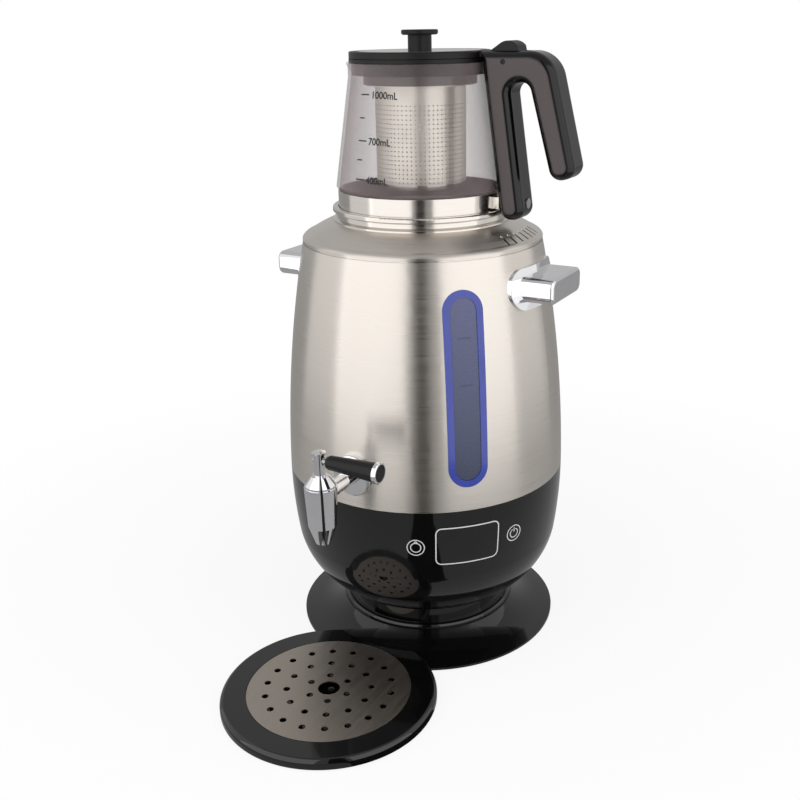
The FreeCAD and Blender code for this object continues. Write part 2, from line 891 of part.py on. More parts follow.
def make_heater():
    """Cast plate under the tank's floor, the tubular element, and two round thermostats."""
    low = tank_floor - size.heater_plate_thickness
    cylinder("heating_plate", size.heater_plate_radius, size.heater_plate_thickness, up=low)
    element = doc.addObject("Part::Torus", "heating_element")
    element.Label = "heating_element"
    bind(element, "Radius1", size.element_radius)
    bind(element, "Radius2", size.element_tube)
    bind(element, "Placement.Base.z", low - size.element_tube)
    element.Angle3 = 330.0
    discs = []
    for side in (-1, 1):
        discs.append(cylinder(f"thermostat_{len(discs)}", size.thermostat_radius, size.thermostat_height,
                              across=size.thermostat_offset * side, up=low - size.thermostat_height))
    group("thermostats", discs)
    cylinder("tie_rod", size.tie_rod_radius, low - bowl_bottom + size.tie_nut_height,
             up=bowl_bottom - size.tie_nut_height)
    nut = new_body("tie_nut")
    revolve(nut, [
        (size.tie_rod_radius, bowl_bottom - size.tie_nut_height),
        (size.tie_nut_radius, bowl_bottom - size.tie_nut_height),
        (size.tie_nut_radius, bowl_bottom), (size.tie_rod_radius, bowl_bottom),
    ])


def make_inlet():
    """Appliance inlet in the back of the bowl: a flanged socket with a recess and three pins."""
    face = size.bowl_waist_radius + size.inlet_flange + 1
    body = new_body("inlet_socket")
    sketch = new_sketch(body, "YZ_Plane", height=face - size.inlet_depth)
    rounded_box(sketch, as_length(0), size.inlet_height, size.inlet_width, size.inlet_tall, size.handle_edge)
    extrude(body, sketch, size.inlet_depth)
    sketch = new_sketch(body, "YZ_Plane", height=face)
    rounded_box(sketch, as_length(0), size.inlet_height, size.recess_width, size.recess_tall, size.handle_edge)
    extrude(body, sketch, size.recess_depth, cut=True)
    place(body, turn=90.0)
    pins = []
    root = face - size.recess_depth
    for across, up in ((-size.pin_spread, -size.pin_rise), (0, size.pin_rise), (size.pin_spread, -size.pin_rise)):
        pins.append(block(
            f"pin_{len(pins)}", (size.pin_thickness, size.pin_length, size.pin_width),
            (as_length(across) - size.pin_thickness / 2, root,
             size.inlet_height + up - size.pin_width / 2)))
    group("inlet_pins", pins)


# Shell and tank

def make_shell():
    """Tapered steel shell with a top flange, the gauge slot, and holes for tap and handles."""
    body = new_body("body_shell")
    wall = size.shell_wall
    low, high = shell_line(0)
    low_in, high_in = shell_line(wall)
    flange = size.shell_top_radius - size.shell_flange
    revolve(body, [
        (*low, "ccw", size.shell_curve), high,
        (flange, shell_top), (flange, shell_top - wall),
        (high_in[0], shell_top - wall, "cw", size.shell_curve - wall), low_in,
    ])
    gap = size.loose_fit
    sketch = new_sketch(body, "YZ_Plane", turn=size.front_azimuth)
    trim = size.gauge_width - size.window_width - gap
    stadium(sketch, size.gauge_middle, size.window_width + gap, size.gauge_height - trim)
    extrude(body, sketch, cut=True, backward=True)
    sketch = new_sketch(body, "XZ_Plane")
    circle(sketch, 0, tap_arm, size.tap_arm_radius + gap)
    extrude(body, sketch, cut=True, backward=True)
    sketch = new_sketch(body, "YZ_Plane")
    for side in (-1, 1):
        circle(sketch, size.handle_screw_spread * side, size.handle_middle, size.handle_screw_radius + gap)
    cut = extrude(body, sketch, size.handle_reach * 2, cut=True, both_ways=True)
    body.Tip = cut


def make_tank():
    """Stainless water tank that hangs from the shell's flange, parallel to the shell."""
    body = new_body("water_tank")
    gap, wall = size.tank_gap, size.tank_wall
    top = shell_top + size.tank_flange
    low, high = shell_line(gap)
    low_in, high_in = shell_line(gap + wall)
    flange = size.shell_top_radius - size.shell_wall
    revolve(body, [
        (0, tank_floor), (low[0], tank_floor, "ccw", size.shell_curve - gap),
        (high[0], shell_top), (flange, shell_top), (flange, top),
        (high_in[0], top, "cw", size.shell_curve - gap - wall),
        (low_in[0], tank_floor + wall), (0, tank_floor + wall),
    ])
    sketch = new_sketch(body, "XZ_Plane")
    circle(sketch, 0, tap_arm, size.tap_arm_radius + size.loose_fit)
    extrude(body, sketch, cut=True, backward=True)


def make_gauge():
    """Level gauge: blue frame, tinted window, gasket, glass tube and its two ports."""
    near = size.shell_top_radius / 2
    far = size.shell_radius + size.bowl_wall * 4
    window_tall = size.gauge_height - size.gauge_width + size.window_width
    gap = size.loose_fit

    def bar(label, extra, narrow):
        width = (size.window_width if narrow else size.gauge_width) + extra
        tall = (window_tall if narrow else size.gauge_height) + extra
        return prism(label, lambda sketch: stadium(sketch, size.gauge_middle, width, tall), near, far)

    def layer(label, outer, inner):
        return boolean("Cut", label, shell_solid(f"{label}_outside", outer),
                       shell_solid(f"{label}_inside", inner))

    proud = -size.gauge_proud
    ring = boolean("Cut", "frame_ring", bar("frame_bar", as_length(0), False),
                   bar("frame_hole", gap, True))
    place(boolean("MultiCommon", "gauge_frame", ring, layer("frame_skin", proud, as_length(0))),
          turn=size.front_azimuth)
    skin = layer("window_skin", proud / 2, size.window_thickness + proud / 2)
    place(boolean("MultiCommon", "gauge_window", bar("window_bar", as_length(0), True), skin),
          turn=size.front_azimuth)
    ring = boolean("Cut", "gasket_ring", bar("gasket_bar", as_length(-2), False),
                   bar("gasket_hole", gap, True))
    outer = size.shell_wall + gap
    place(boolean("MultiCommon", "gauge_gasket", ring,
                  layer("gasket_skin", outer, outer + size.gauge_gasket)), turn=size.front_azimuth)
    make_gauge_tube()


def make_gauge_tube():
    """Glass tube between shell and tank, leaning with the shell, on two steel ports."""
    middle = (size.shell_radius + size.shell_top_radius) / 2 + 4 - size.gauge_tube_inset
    lean = f"atan(({size.shell_radius.text} - {size.shell_top_radius.text}) / {size.shell_height.text})"
    tube = doc.addObject("Part::Cylinder", "gauge_tube_bar")
    bind(tube, "Radius", size.gauge_tube_radius)
    bind(tube, "Height", size.gauge_tube_length)
    tube.Placement = Placement(Vector(), Rotation(Vector(0, -1, 0), 6.0))
    tube.setExpression("Placement.Rotation.Angle", lean)
    half = size.gauge_tube_length / 2
    tube.setExpression("Placement.Base.x", f"{middle.text} + {half.text} * sin({lean})")
    tube.setExpression("Placement.Base.z", f"{size.gauge_middle.text} - {half.text} * cos({lean})")
    ports = []
    for side in (-1, 1):
        up = size.gauge_middle + size.gauge_port_spread * side
        slope = (size.shell_top_radius - size.shell_radius) / size.shell_height
        port_middle = middle + slope * size.gauge_port_spread * side
        start = port_middle - size.tank_gap + size.gauge_tube_inset - 1
        port = cylinder(f"port_{len(ports)}", size.gauge_port_radius,
                        port_middle - start, across=start, up=up, axis=Vector(1, 0, 0))
        ports.append(port)
    bars = group("port_bars", ports)
    trim = shell_solid("tank_outside", size.tank_gap - size.trim_gap)
    ports_outside = boolean("Cut", "ports_outside", bars, trim)
    tube_cut = boolean("Cut", "gauge_ports", ports_outside, tube)
    place(tube_cut, turn=size.front_azimuth)
    glass = group("gauge_tube", [tube])
    place(glass, turn=size.front_azimuth)


# Side handles

def make_side_handle(label, azimuth):
    """Chrome grip: an oval flange that hugs the shell and a ledge to lift by."""
    near, far = size.shell_top_radius / 2, size.handle_reach
    flange = prism(f"{label}_oval", lambda sketch: rounded_box(
        sketch, as_length(0), size.handle_middle, size.handle_flange_width,
        size.handle_flange_height, size.handle_flange_height / 2 - 0.01), near, far)
    ledge = new_body(f"{label}_ledge")
    sketch = new_sketch(ledge, "YZ_Plane", height=near)
    rounded_box(sketch, as_length(0), size.handle_middle, size.handle_width,
                size.handle_thickness, size.handle_corner)
    pad = extrude(ledge, sketch, far - near)
    reach = size.handle_reach.number
    fillet(ledge, pad, lambda edge: all(v.X > reach - 0.01 for v in edge.Vertexes), size.handle_edge)
    sketch = new_sketch(ledge, "YZ_Plane", height=near)
    for side in (-1, 1):
        circle(sketch, size.handle_screw_spread * side, size.handle_middle, size.handle_screw_radius)
    depth = size.shell_top_radius - near + size.handle_screw_length
    extrude(ledge, sketch, depth, cut=True, backward=True)
    thick = boolean("MultiCommon", f"{label}_flange", flange,
                    shell_solid(f"{label}_skin", -size.handle_flange_thickness))
    drilled = new_body(f"{label}_drill")
    sketch = new_sketch(drilled, "YZ_Plane", height=near)
    for side in (-1, 1):
        circle(sketch, size.handle_screw_spread * side, size.handle_middle, size.handle_screw_radius)
    drilled.AllowCompound = True
    extrude(drilled, sketch, depth)
    whole = boolean("MultiFuse", f"{label}_whole", thick, ledge)
    hollow = boolean("Cut", f"{label}_hollow", whole, drilled)
    result = boolean("Cut", label, hollow, shell_solid(f"{label}_seat", as_length(0)))
    place(result, turn=azimuth)


def make_handle_screws():
    """Four screws from inside the shell into the side handles."""
    inner = size.shell_top_radius - size.shell_wall
    screws = []
    for direction in (-1, 1):
        for side in (-1, 1):
            axis = Vector(direction, 0, 0)
            along = size.handle_screw_spread * side
            start = inner * direction
            shank = cylinder(f"shank_{len(screws)}", size.handle_screw_radius - size.running_fit,
                             size.handle_screw_length, start, along, size.handle_middle, axis)
            head = cylinder(f"head_{len(screws)}", size.handle_screw_radius * 2, size.handle_screw_head,
                            start - size.handle_screw_head * direction, along, size.handle_middle, axis)
            screws.append(boolean("MultiFuse", f"screw_{len(screws)}", shank, head))
    group("handle_screws", screws)


# Tap

def make_tap():
    """Turned tap body with its arm through the shell, bonnet, rose, seal and inner nut."""
    foot, top = tap_foot, tap_top
    waist = foot + size.tap_taper_height
    body = new_body("tap_body")
    revolve(body, [
        (0, foot), (size.tap_outlet_radius, foot), (size.tap_waist_radius, waist),
        (size.tap_rim_radius, top - 1.5), (size.tap_rim_radius, top), (0, top),
    ])
    inner_end = size.shell_radius - size.tank_gap - size.tap_nut_thickness - size.tap_shank_end
    sketch = new_sketch(body, "YZ_Plane")
    circle(sketch, 0, tap_arm, size.tap_arm_radius)
    extrude(body, sketch, size.tap_reach - inner_end, backward=True)
    revolve(body, [
        (0, foot), (size.tap_outlet_bore, foot), (size.tap_outlet_bore, tap_chamber_floor),
        (size.tap_chamber_radius, tap_chamber_floor), (size.tap_chamber_radius, top), (0, top),
    ], kind="PartDesign::Groove")
    sketch = new_sketch(body, "YZ_Plane")
    circle(sketch, 0, tap_arm, size.tap_arm_bore)
    extrude(body, sketch, size.tap_reach - inner_end, cut=True)
    place(body, along=-size.tap_reach, turn=-90.0)

    bonnet = new_body("tap_bonnet")
    bore = size.stem_radius + size.running_fit
    edge = top + size.tap_bonnet_edge
    crown = top + size.tap_bonnet_height
    revolve(bonnet, [
        (bore, top), (size.tap_rim_radius - 0.6, top), (size.tap_rim_radius - 0.6, edge),
        (size.stem_radius + 2, crown), (bore, crown),
    ])
    place(bonnet, along=-size.tap_reach)

    shell_cut = shell_solid("rose_seat", as_length(0))
    rose_start = size.shell_radius - 4
    rose = new_body("rose_disc")
    sketch = new_sketch(rose, "YZ_Plane", height=rose_start)
    circle(sketch, 0, tap_arm, size.tap_rose_radius)
    pad = extrude(rose, sketch, 4 + size.tap_rose_thickness)
    front = pad.Shape.BoundBox.XMax
    fillet(rose, pad, lambda edge_: edge_.BoundBox.XMin > front - 0.01, size.tap_rose_thickness / 2)
    sketch = new_sketch(rose, "YZ_Plane", height=rose_start)
    circle(sketch, 0, tap_arm, size.tap_arm_radius + size.running_fit)
    extrude(rose, sketch, cut=True, backward=True)
    place(boolean("Cut", "tap_rose", rose, shell_cut), turn=-90.0)

    wall_inside = size.shell_radius - size.tank_gap - size.tank_wall
    seal_start = size.shell_radius - size.tank_gap
    seal = prism("seal_disc", lambda sketch: (
        circle(sketch, 0, tap_arm, size.tap_nut_radius),
        circle(sketch, 0, tap_arm, size.tap_arm_radius + size.running_fit)),
        seal_start - 3, size.shell_radius)
    layer = boolean("Cut", "seal_layer", shell_solid("seal_outside", size.shell_wall + size.loose_fit),
                    shell_solid("seal_inside", size.tank_gap - size.trim_gap))
    place(boolean("MultiCommon", "tap_seal", seal, layer), turn=-90.0)

    nut = prism("nut_disc", lambda sketch: (
        circle(sketch, 0, tap_arm, size.tap_nut_radius),
        circle(sketch, 0, tap_arm, size.tap_arm_radius + size.running_fit)),
        wall_inside - size.tap_nut_thickness, wall_inside + 2)
    tank_inside = shell_solid("tank_inside", size.tank_gap + size.tank_wall)
    place(boolean("MultiCommon", "tap_nut", nut, tank_inside), turn=-90.0)


def make_tap_spindle():
    """Rotary plug with its water way, the stem through the bonnet and a small cap on top."""
    foot = tap_chamber_floor + size.loose_fit
    top = tap_top - size.loose_fit
    plug = size.tap_chamber_radius - size.running_fit
    body = new_body("tap_spindle")
    cap = tap_stem_top - size.stem_cap_height
    revolve(body, [
        (0, foot), (plug, foot), (plug, top), (size.stem_radius, top), (size.stem_radius, cap),
        (size.stem_cap_radius, cap), (size.stem_cap_radius, cap + 1),
        (size.stem_radius / 2, tap_stem_top), (0, tap_stem_top),
    ])
    sketch = new_sketch(body, "XY_Plane", height=foot)
    circle(sketch, 0, 0, size.tap_arm_bore)
    extrude(body, sketch, tap_arm - foot, cut=True, backward=True)
    sketch = new_sketch(body, "YZ_Plane")
    circle(sketch, 0, tap_arm, size.tap_arm_bore - 0.4)
    extrude(body, sketch, size.tap_chamber_radius + 1, cut=True)
    sketch = new_sketch(body, "YZ_Plane")
    circle(sketch, 0, lever_height, size.lever_rod_radius + size.running_fit)
    extrude(body, sketch, size.stem_cap_radius * 2 + 2, cut=True, both_ways=True)
    place(body, along=-size.tap_reach)


def make_lever():
    """Cross lever of the tap: steel rod, tapered black grip, bright ring and black end cap."""
    end = size.lever_start + size.lever_length
    face = end + size.lever_ring_length
    rod = prism("lever_rod", lambda sketch: circle(sketch, 0, lever_height, size.lever_rod_radius),
                -size.stem_radius, end)
    place(rod, along=-size.tap_reach)
    bore = size.lever_rod_radius + size.running_fit
    grip = turned_along_x("lever_grip", [
        (size.lever_start, bore), (end, bore), (end, size.lever_end_radius),
        (size.lever_start + 2, size.lever_root_radius), (size.lever_start, size.lever_root_radius - 1),
    ])
    cap = turned_along_x("lever_cap", [
        (end, 0), (face - 0.4, 0), (face - 0.4, size.lever_cap_radius), (end, size.lever_cap_radius),
    ])
    ring = turned_along_x("lever_ring", [
        (end, size.lever_cap_radius + size.running_fit), (face, size.lever_cap_radius + size.running_fit),
        (face, size.lever_ring_radius - 0.6), (face - 0.6, size.lever_ring_radius),
        (end, size.lever_ring_radius),
    ])
    for item in (grip, cap, ring):
        place(item, along=-size.tap_reach, up=lever_height)


def turned_along_x(label, corners):
    """Turn an outline of (distance, radius) corners about the X axis."""
    body = new_body(label)
    sketch = new_sketch(body, "XZ_Plane")
    outline(sketch, corners)
    feature = body.newObject("PartDesign::Revolution", "Turn")
    feature.Profile = sketch
    feature.ReferenceAxis = (sketch, ["H_Axis"])
    feature.Angle = 360.0
    settle(feature)
    return body


# Top cover

def make_cover():
    """Brushed shoulder cover with steam vents over the +X handle."""
    body = new_body("shoulder_cover")
    wall = size.cover_wall
    edge = size.shell_top_radius
    shoulder = cover_bottom + size.cover_shoulder_height
    mouth = size.collar_ledge + 2
    revolve(body, [
        (edge - wall, cover_bottom), (edge, cover_bottom),
        (edge, cover_bottom + size.cover_edge_height, "ccw", size.cover_curve),
        (size.cover_shoulder_radius, shoulder, "ccw", size.cover_slope_curve),
        (size.collar_radius, cover_top), (mouth, cover_top), (mouth, cover_top - wall),
        (size.collar_radius - wall / 2, cover_top - wall, "cw", size.cover_slope_curve - wall),
        (size.cover_shoulder_radius - wall / 2, shoulder - wall, "cw", size.cover_curve),
        (edge - wall, cover_bottom + size.cover_edge_height - wall / 2),
    ])
    count = 7
    sketch = new_sketch(body, "XY_Plane", turn=size.vent_spacing * (1 - count) / 2)
    half = size.vent_width / 2
    start, end = size.vent_inner + half, size.vent_outer - half
    outline(sketch, [
        (start, -half), (end, -half, "ccw", half), (end + half, 0, "ccw", half),
        (end, half), (start, half, "ccw", half), (start - half, 0, "ccw", half),
    ])
    vent = extrude(body, sketch, cut=True, backward=True)
    polar(body, vent, count, size.vent_spacing * (count - 1))


def make_collar():
    """Ring on the cover that the teapot stands in, with a lip, a neck and an inner ledge."""
    body = new_body("collar_ring")
    inside = size.pot_radius + size.pot_clearance
    top = cover_top + size.collar_height
    foot = cover_top + size.collar_foot
    lip = top - size.collar_lip
    step = size.collar_step
    revolve(body, [
        (size.collar_ledge, cover_top), (size.collar_radius, cover_top), (size.collar_radius, foot),
        (size.collar_neck, foot + step), (size.collar_neck, lip - step),
        (size.collar_radius, lip), (size.collar_radius, top - 1, "ccw", as_length(1.0)),
        (size.collar_radius - 1, top), (inside, top), (inside, cover_top + size.ledge_thickness),
        (size.collar_ledge, cover_top + size.ledge_thickness),
    ])


def make_cover_gasket():
    """Silicone ring under the cover that closes on the tank's flange."""
    body = new_body("cover_gasket")
    outer = size.shell_top_radius - size.cover_wall * 2
    inner = outer - size.gasket_width
    low = cover_bottom
    high = cover_bottom + size.cover_edge_height
    revolve(body, [(inner, low), (outer, low), (outer, high), (inner, high)])


# Teapot

def make_pot_base():
    """Polished steel cup that holds the foot of the glass."""
    body = new_body("teapot_base")
    wall, corner = size.pot_wall, size.pot_corner
    top = pot_bottom + size.pot_band_height
    radius = size.pot_radius
    revolve(body, [
        (0, pot_bottom), (radius - corner, pot_bottom, "ccw", corner),
        (radius, pot_bottom + corner), (radius, top), (radius - wall, top),
        (radius - wall, pot_bottom + corner, "cw", corner - wall),
        (radius - corner, pot_bottom + wall), (0, pot_bottom + wall),
    ])


def glass_line(inset):
    """The jug's outside from the steel band to its rim, moved inward by an inset."""
    top = pot_bottom + size.pot_band_height
    neck = pot_bottom + size.pot_wall + size.glass_neck_height
    return [
        (size.glass_radius - inset, top + size.glass_shoulder),
        (size.glass_neck_radius - inset, neck),
        (size.glass_neck_radius - inset, rim),
    ]


def make_glass():
    """Tapered glass jug with a pouring lip at -X."""
    body = new_body("glass_jug")
    floor = pot_bottom + size.pot_wall
    wall, corner = size.glass_wall, size.pot_corner
    seat = size.pot_radius - size.pot_wall - size.loose_fit
    top = pot_bottom + size.pot_band_height
    shoulder, neck, lip = glass_line(as_length(0))
    shoulder_in, neck_in, lip_in = glass_line(wall)
    revolve(body, [
        (0, floor), (seat - corner, floor, "ccw", corner), (seat, floor + corner),
        (seat, top + size.loose_fit), shoulder, neck, lip, lip_in, neck_in,
        shoulder_in, (seat - wall, top), (seat - wall, floor + corner),
        (seat - corner - 1, floor + wall), (0, floor + wall),
    ])
    inside = size.glass_neck_radius - wall / 2
    sketch = new_sketch(body, "XZ_Plane")
    outline(sketch, [(-inside, rim - size.spout_drop), (-inside, rim), (-size.spout_reach, rim),
                     (-size.spout_reach, rim - 2)])
    extrude(body, sketch, size.spout_width, both_ways=True)
    drop, reach = size.spout_drop - wall * 1.5, size.spout_reach - wall
    sketch = new_sketch(body, "XZ_Plane")
    cut_in = size.glass_neck_radius - wall * 2
    outline(sketch, [(-cut_in, rim - drop - 3), (-cut_in, rim + 1), (-reach - 1, rim + 1), (-reach, rim - 2.5)])
    extrude(body, sketch, size.spout_width - wall * 2, cut=True, both_ways=True)


def make_infuser():
    """Infuser: a ring that hangs on the glass, a sleeve below it and the metal basket."""
    flange_low = rim + size.seat_gap
    flange_top = flange_low + size.infuser_flange_thickness
    plug = size.glass_neck_radius - size.glass_wall - size.infuser_plug_gap
    low = rim - size.infuser_plug_depth
    mouth = size.infuser_mouth
    ring = new_body("infuser_ring")
    revolve(ring, [
        (mouth, low), (plug, low), (plug, flange_low), (size.infuser_flange, flange_low),
        (size.infuser_flange, flange_top), (mouth, flange_top),
    ])
    sleeve_low = low - size.sleeve_height
    sleeve = new_body("infuser_sleeve")
    revolve(sleeve, [(mouth, sleeve_low), (size.sleeve_radius, sleeve_low),
                     (size.sleeve_radius, low), (mouth, low)])
    wall, radius = size.basket_wall, size.basket_radius
    flange = size.sleeve_radius - 1
    foot = sleeve_low - size.basket_depth
    basket = new_body("infuser_basket")
    revolve(basket, [
        (0, foot), (radius, foot), (radius, sleeve_low - wall), (flange, sleeve_low - wall),
        (flange, sleeve_low), (radius - wall, sleeve_low), (radius - wall, foot + wall), (0, foot + wall),
    ])
    cap = new_body("basket_foot")
    outer = radius + size.running_fit + wall
    revolve(cap, [
        (0, foot - wall), (outer, foot - wall), (outer, foot + size.basket_foot_height),
        (radius + size.running_fit, foot + size.basket_foot_height), (radius + size.running_fit, foot),
        (0, foot),
    ])


def lid_bottom():
    return rim + size.seat_gap + size.infuser_flange_thickness + size.lid_gap


hinge_height = lid_bottom() - size.hinge_drop


def make_lid():
    """Black lid disc with a plug below, and an arm to its hinge barrel and thumb hump."""
    low = lid_bottom()
    high = low + size.lid_thickness
    body = new_body("lid_disc")
    inset = high - size.lid_inset_depth
    plug_low = low - size.lid_plug_depth
    plug_in = size.lid_plug_radius - size.lid_plug_wall
    revolve(body, [
        (0, low + 1), (plug_in, low + 1), (plug_in, plug_low), (size.lid_plug_radius, plug_low),
        (size.lid_plug_radius, low), (size.lid_radius, low),
        (size.lid_radius, high - 1, "ccw", as_length(1.0)), (size.lid_radius - 1, high),
        (size.lid_inset_radius, high), (size.lid_inset_radius, inset), (0, inset),
    ])
    sketch = new_sketch(body, "XZ_Plane")
    reach, up = size.hinge_reach, hinge_height
    barrel = size.barrel_radius
    thumb = up + size.thumb_height
    start = size.lid_inset_radius + 3
    outline(sketch, [
        (start, low + 0.5), (reach - barrel, low + 0.5), (reach - barrel, up, "ccw", barrel),
        (reach, up - barrel, "ccw", barrel), (reach + barrel, up),
        (reach + size.thumb_reach, up + barrel + 2),
        (reach + size.thumb_reach - 1, thumb - 4, "ccw", size.thumb_curve),
        (reach - 4, thumb - 2), (reach - size.thumb_reach - 3, high), (start, high),
    ])
    extrude(body, sketch, size.lid_arm_width, both_ways=True)
    sketch = new_sketch(body, "XZ_Plane")
    circle(sketch, reach, up, size.pin_radius + size.running_fit)
    extrude(body, sketch, size.lid_arm_width + 2, cut=True, both_ways=True)

    top = inset
    cylinder("lid_inset", size.lid_inset_radius - size.loose_fit, size.lid_inset_depth, up=top)
    stem_foot = top + size.lid_inset_depth
    stem_top = stem_foot + size.knob_stem_height
    knob = new_body("lid_knob")
    revolve(knob, [
        (0, stem_foot), (size.knob_stem_radius, stem_foot), (size.knob_stem_radius, stem_top),
        (size.knob_radius - 1, stem_top), (size.knob_radius, stem_top + 1),
        (size.knob_radius, stem_top + size.knob_height - 1, "ccw", as_length(1.0)),
        (size.knob_radius - 1, stem_top + size.knob_height), (0, stem_top + size.knob_height),
    ])
    seal = new_body("lid_seal")
    edge = size.lid_plug_radius
    revolve(seal, [
        (edge, plug_low + 1), (edge + 0.8, plug_low + 1.6), (edge + 0.8, plug_low + 2.2),
        (edge, plug_low + 2.8),
    ])


def make_hinge_pin():
    """Steel pin through the handle's cheeks and the lid's barrel."""
    pin = cylinder("hinge_pin", size.pin_radius, size.grip_width - 1, axis=Vector(0, 1, 0))
    bind(pin, "Placement.Base.x", size.hinge_reach)
    bind(pin, "Placement.Base.y", -(size.grip_width - 1) / 2)
    bind(pin, "Placement.Base.z", hinge_height)


def make_pot_handle():
    """Moulded handle: a strut by the glass, a bridge with the hinge slot, a hanging grip."""
    base = pot_bottom
    top = base + size.grip_top
    foot = base + size.strut_foot
    arch = base + size.arch_height
    strut_out = size.strut_foot_reach + size.strut_depth
    body = new_body("teapot_handle")
    sketch = new_sketch(body, "XZ_Plane")
    foot_curve, end_curve = size.strut_foot_curve, size.grip_depth / 2 - size.grip_end_margin
    rounded_outline(sketch, [
        (size.strut_top_reach, top, 0),
        (size.strut_foot_reach, foot, foot_curve),
        (strut_out, foot, foot_curve),
        (size.arch_reach, arch, size.arch_radius),
        (size.arch_reach + size.arch_width, arch, size.arch_radius),
        (size.grip_inner_reach, base + size.grip_end, end_curve),
        (size.grip_inner_reach + size.grip_depth, base + size.grip_end + size.grip_tilt, end_curve),
        (size.bend_reach, top, size.bend_curve),
    ])
    pad = extrude(body, sketch, size.grip_width, both_ways=True)
    side = size.grip_width.number / 2 - 0.01
    fillet(body, pad, lambda edge: abs(edge.BoundBox.YMin) > side and edge.BoundBox.YLength < 0.1,
           size.grip_edge)
    floor = base + size.slot_floor
    sketch = new_sketch(body, "XZ_Plane")
    outline(sketch, [(size.collar_ledge - 8, floor), (size.slot_end, floor),
                     (size.slot_end, top + 1), (size.collar_ledge - 8, top + 1)])
    extrude(body, sketch, size.lid_arm_width + size.slot_clearance * 2, cut=True, both_ways=True)
    sketch = new_sketch(body, "XZ_Plane")
    circle(sketch, size.hinge_reach, hinge_height, size.pin_radius + size.running_fit)
    extrude(body, sketch, size.grip_width + 2, cut=True, both_ways=True)
    sketch = new_sketch(body, "YZ_Plane")
    circle(sketch, 0, screw_height, size.pot_screw_radius + size.loose_fit)
    extrude(body, sketch, cut=True, backward=True)
    sketch = new_sketch(body, "YZ_Plane", height=strut_out - size.pot_screw_recess)
    circle(sketch, 0, screw_height, size.pot_screw_head + size.loose_fit)
    extrude(body, sketch, size.strut_depth, cut=True, backward=True)


screw_height = pot_bottom + size.pot_screw_rise


def make_pot_bracket():
    """Steel bracket on the band that the foot of the handle is screwed to, and its screw."""
    inner = size.pot_radius - size.pot_wall / 2
    lean = (size.strut_foot_reach - size.strut_top_reach) / (size.grip_top - size.strut_foot)
    rise = size.pot_screw_rise + size.bracket_height / 2 - size.strut_foot
    outer = size.strut_foot_reach - lean * rise
    arm = block("bracket_arm", (outer - inner, size.bracket_width, size.bracket_height),
                (inner, -(size.bracket_width / 2), screw_height - size.bracket_height / 2))
    band = cylinder("bracket_band", size.pot_radius, size.bracket_height * 2, up=pot_bottom)
    seated = boolean("Cut", "bracket_seated", arm, band)
    hole = cylinder("bracket_hole", size.pot_screw_radius, outer, across=inner, up=screw_height,
                    axis=Vector(1, 0, 0))
    boolean("Cut", "handle_bracket", seated, hole)
    head_start = size.strut_foot_reach + size.strut_depth - size.pot_screw_recess
    shank_start = size.pot_radius + 1
    shank = cylinder("pot_screw_shank", size.pot_screw_radius - size.running_fit,
                     head_start - shank_start, across=shank_start, up=screw_height, axis=Vector(1, 0, 0))
    head = cylinder("pot_screw_head", size.pot_screw_head, size.pot_screw_head_height,
                    across=head_start, up=screw_height, axis=Vector(1, 0, 0))
    boolean("MultiFuse", "handle_screw", shank, head)


# Drip tray

def make_tray():
    """Round tray in front of the stand, notched to fit over the skirt, with a well."""
    dish = new_body("tray_dish")
    radius, top = size.tray_radius, size.tray_height
    seat = top - size.drain_thickness
    revolve(dish, [
        (0, 0), (radius - 1.5, 0, "ccw", as_length(1.5)), (radius, 1.5),
        (radius, top - size.tray_curve, "ccw", size.tray_curve),
        (size.tray_top_radius, top), (size.drain_radius, top), (size.drain_radius, seat),
        (size.ledge_radius, seat), (size.ledge_radius, size.ledge_height + 0.8),
        (size.well_radius + size.well_slope, size.ledge_height),
        (size.well_radius, size.tray_floor), (0, size.tray_floor),
    ])
    place(dish, along=-size.tray_offset)
    notch = new_body("tray_notch")
    gap = size.skirt_clearance
    rim_low = skirt_line(gap)[0]
    revolve(notch, [
        (0, -1), (size.skirt_radius + gap, -1), rim_low, (size.skirt_flat_radius, skirt_flat_top + gap),
        (size.tray_notch, skirt_flat_top + gap + 0.6), (size.tray_notch, top + 5), (0, top + 5),
    ])
    boolean("Cut", "drip_tray", dish, notch)


def make_drain_plate():
    """Perforated steel plate that lies in the tray under the tap."""
    body = new_body("drain_plate")
    low = size.tray_height - size.drain_thickness
    radius = size.drain_radius - size.drain_gap
    sketch = new_sketch(body, "XY_Plane", height=low)
    circle(sketch, 0, 0, radius)
    circle(sketch, 0, 0, size.drain_centre_hole)
    extrude(body, sketch, size.drain_thickness)
    for ring in (1, 2, 3):
        sketch = new_sketch(body, "XY_Plane", height=low)
        circle(sketch, size.drain_ring_spacing * ring, 0, size.drain_hole)
        polar(body, extrude(body, sketch, cut=True, backward=True), 6 * ring)
    place(body, along=-size.tray_offset)


make_base_skirt()
make_base_plate()
make_feet()
make_base_screws()
make_pedestal()
make_bowl()
make_display_panel()
make_display_module()
make_touch_keys()
make_power_board()
make_heater()
make_inlet()
make_shell()
make_tank()
make_gauge()
make_side_handle("side_handle_right", 0.0)
make_side_handle("side_handle_left", 180.0)
make_handle_screws()
make_tap()
make_tap_spindle()
make_lever()
make_cover()
make_collar()
make_cover_gasket()
make_pot_base()
make_glass()
make_infuser()
make_lid()
make_hinge_pin()
make_pot_handle()
make_pot_bracket()
make_tray()
make_drain_plate()
doc.recompute()

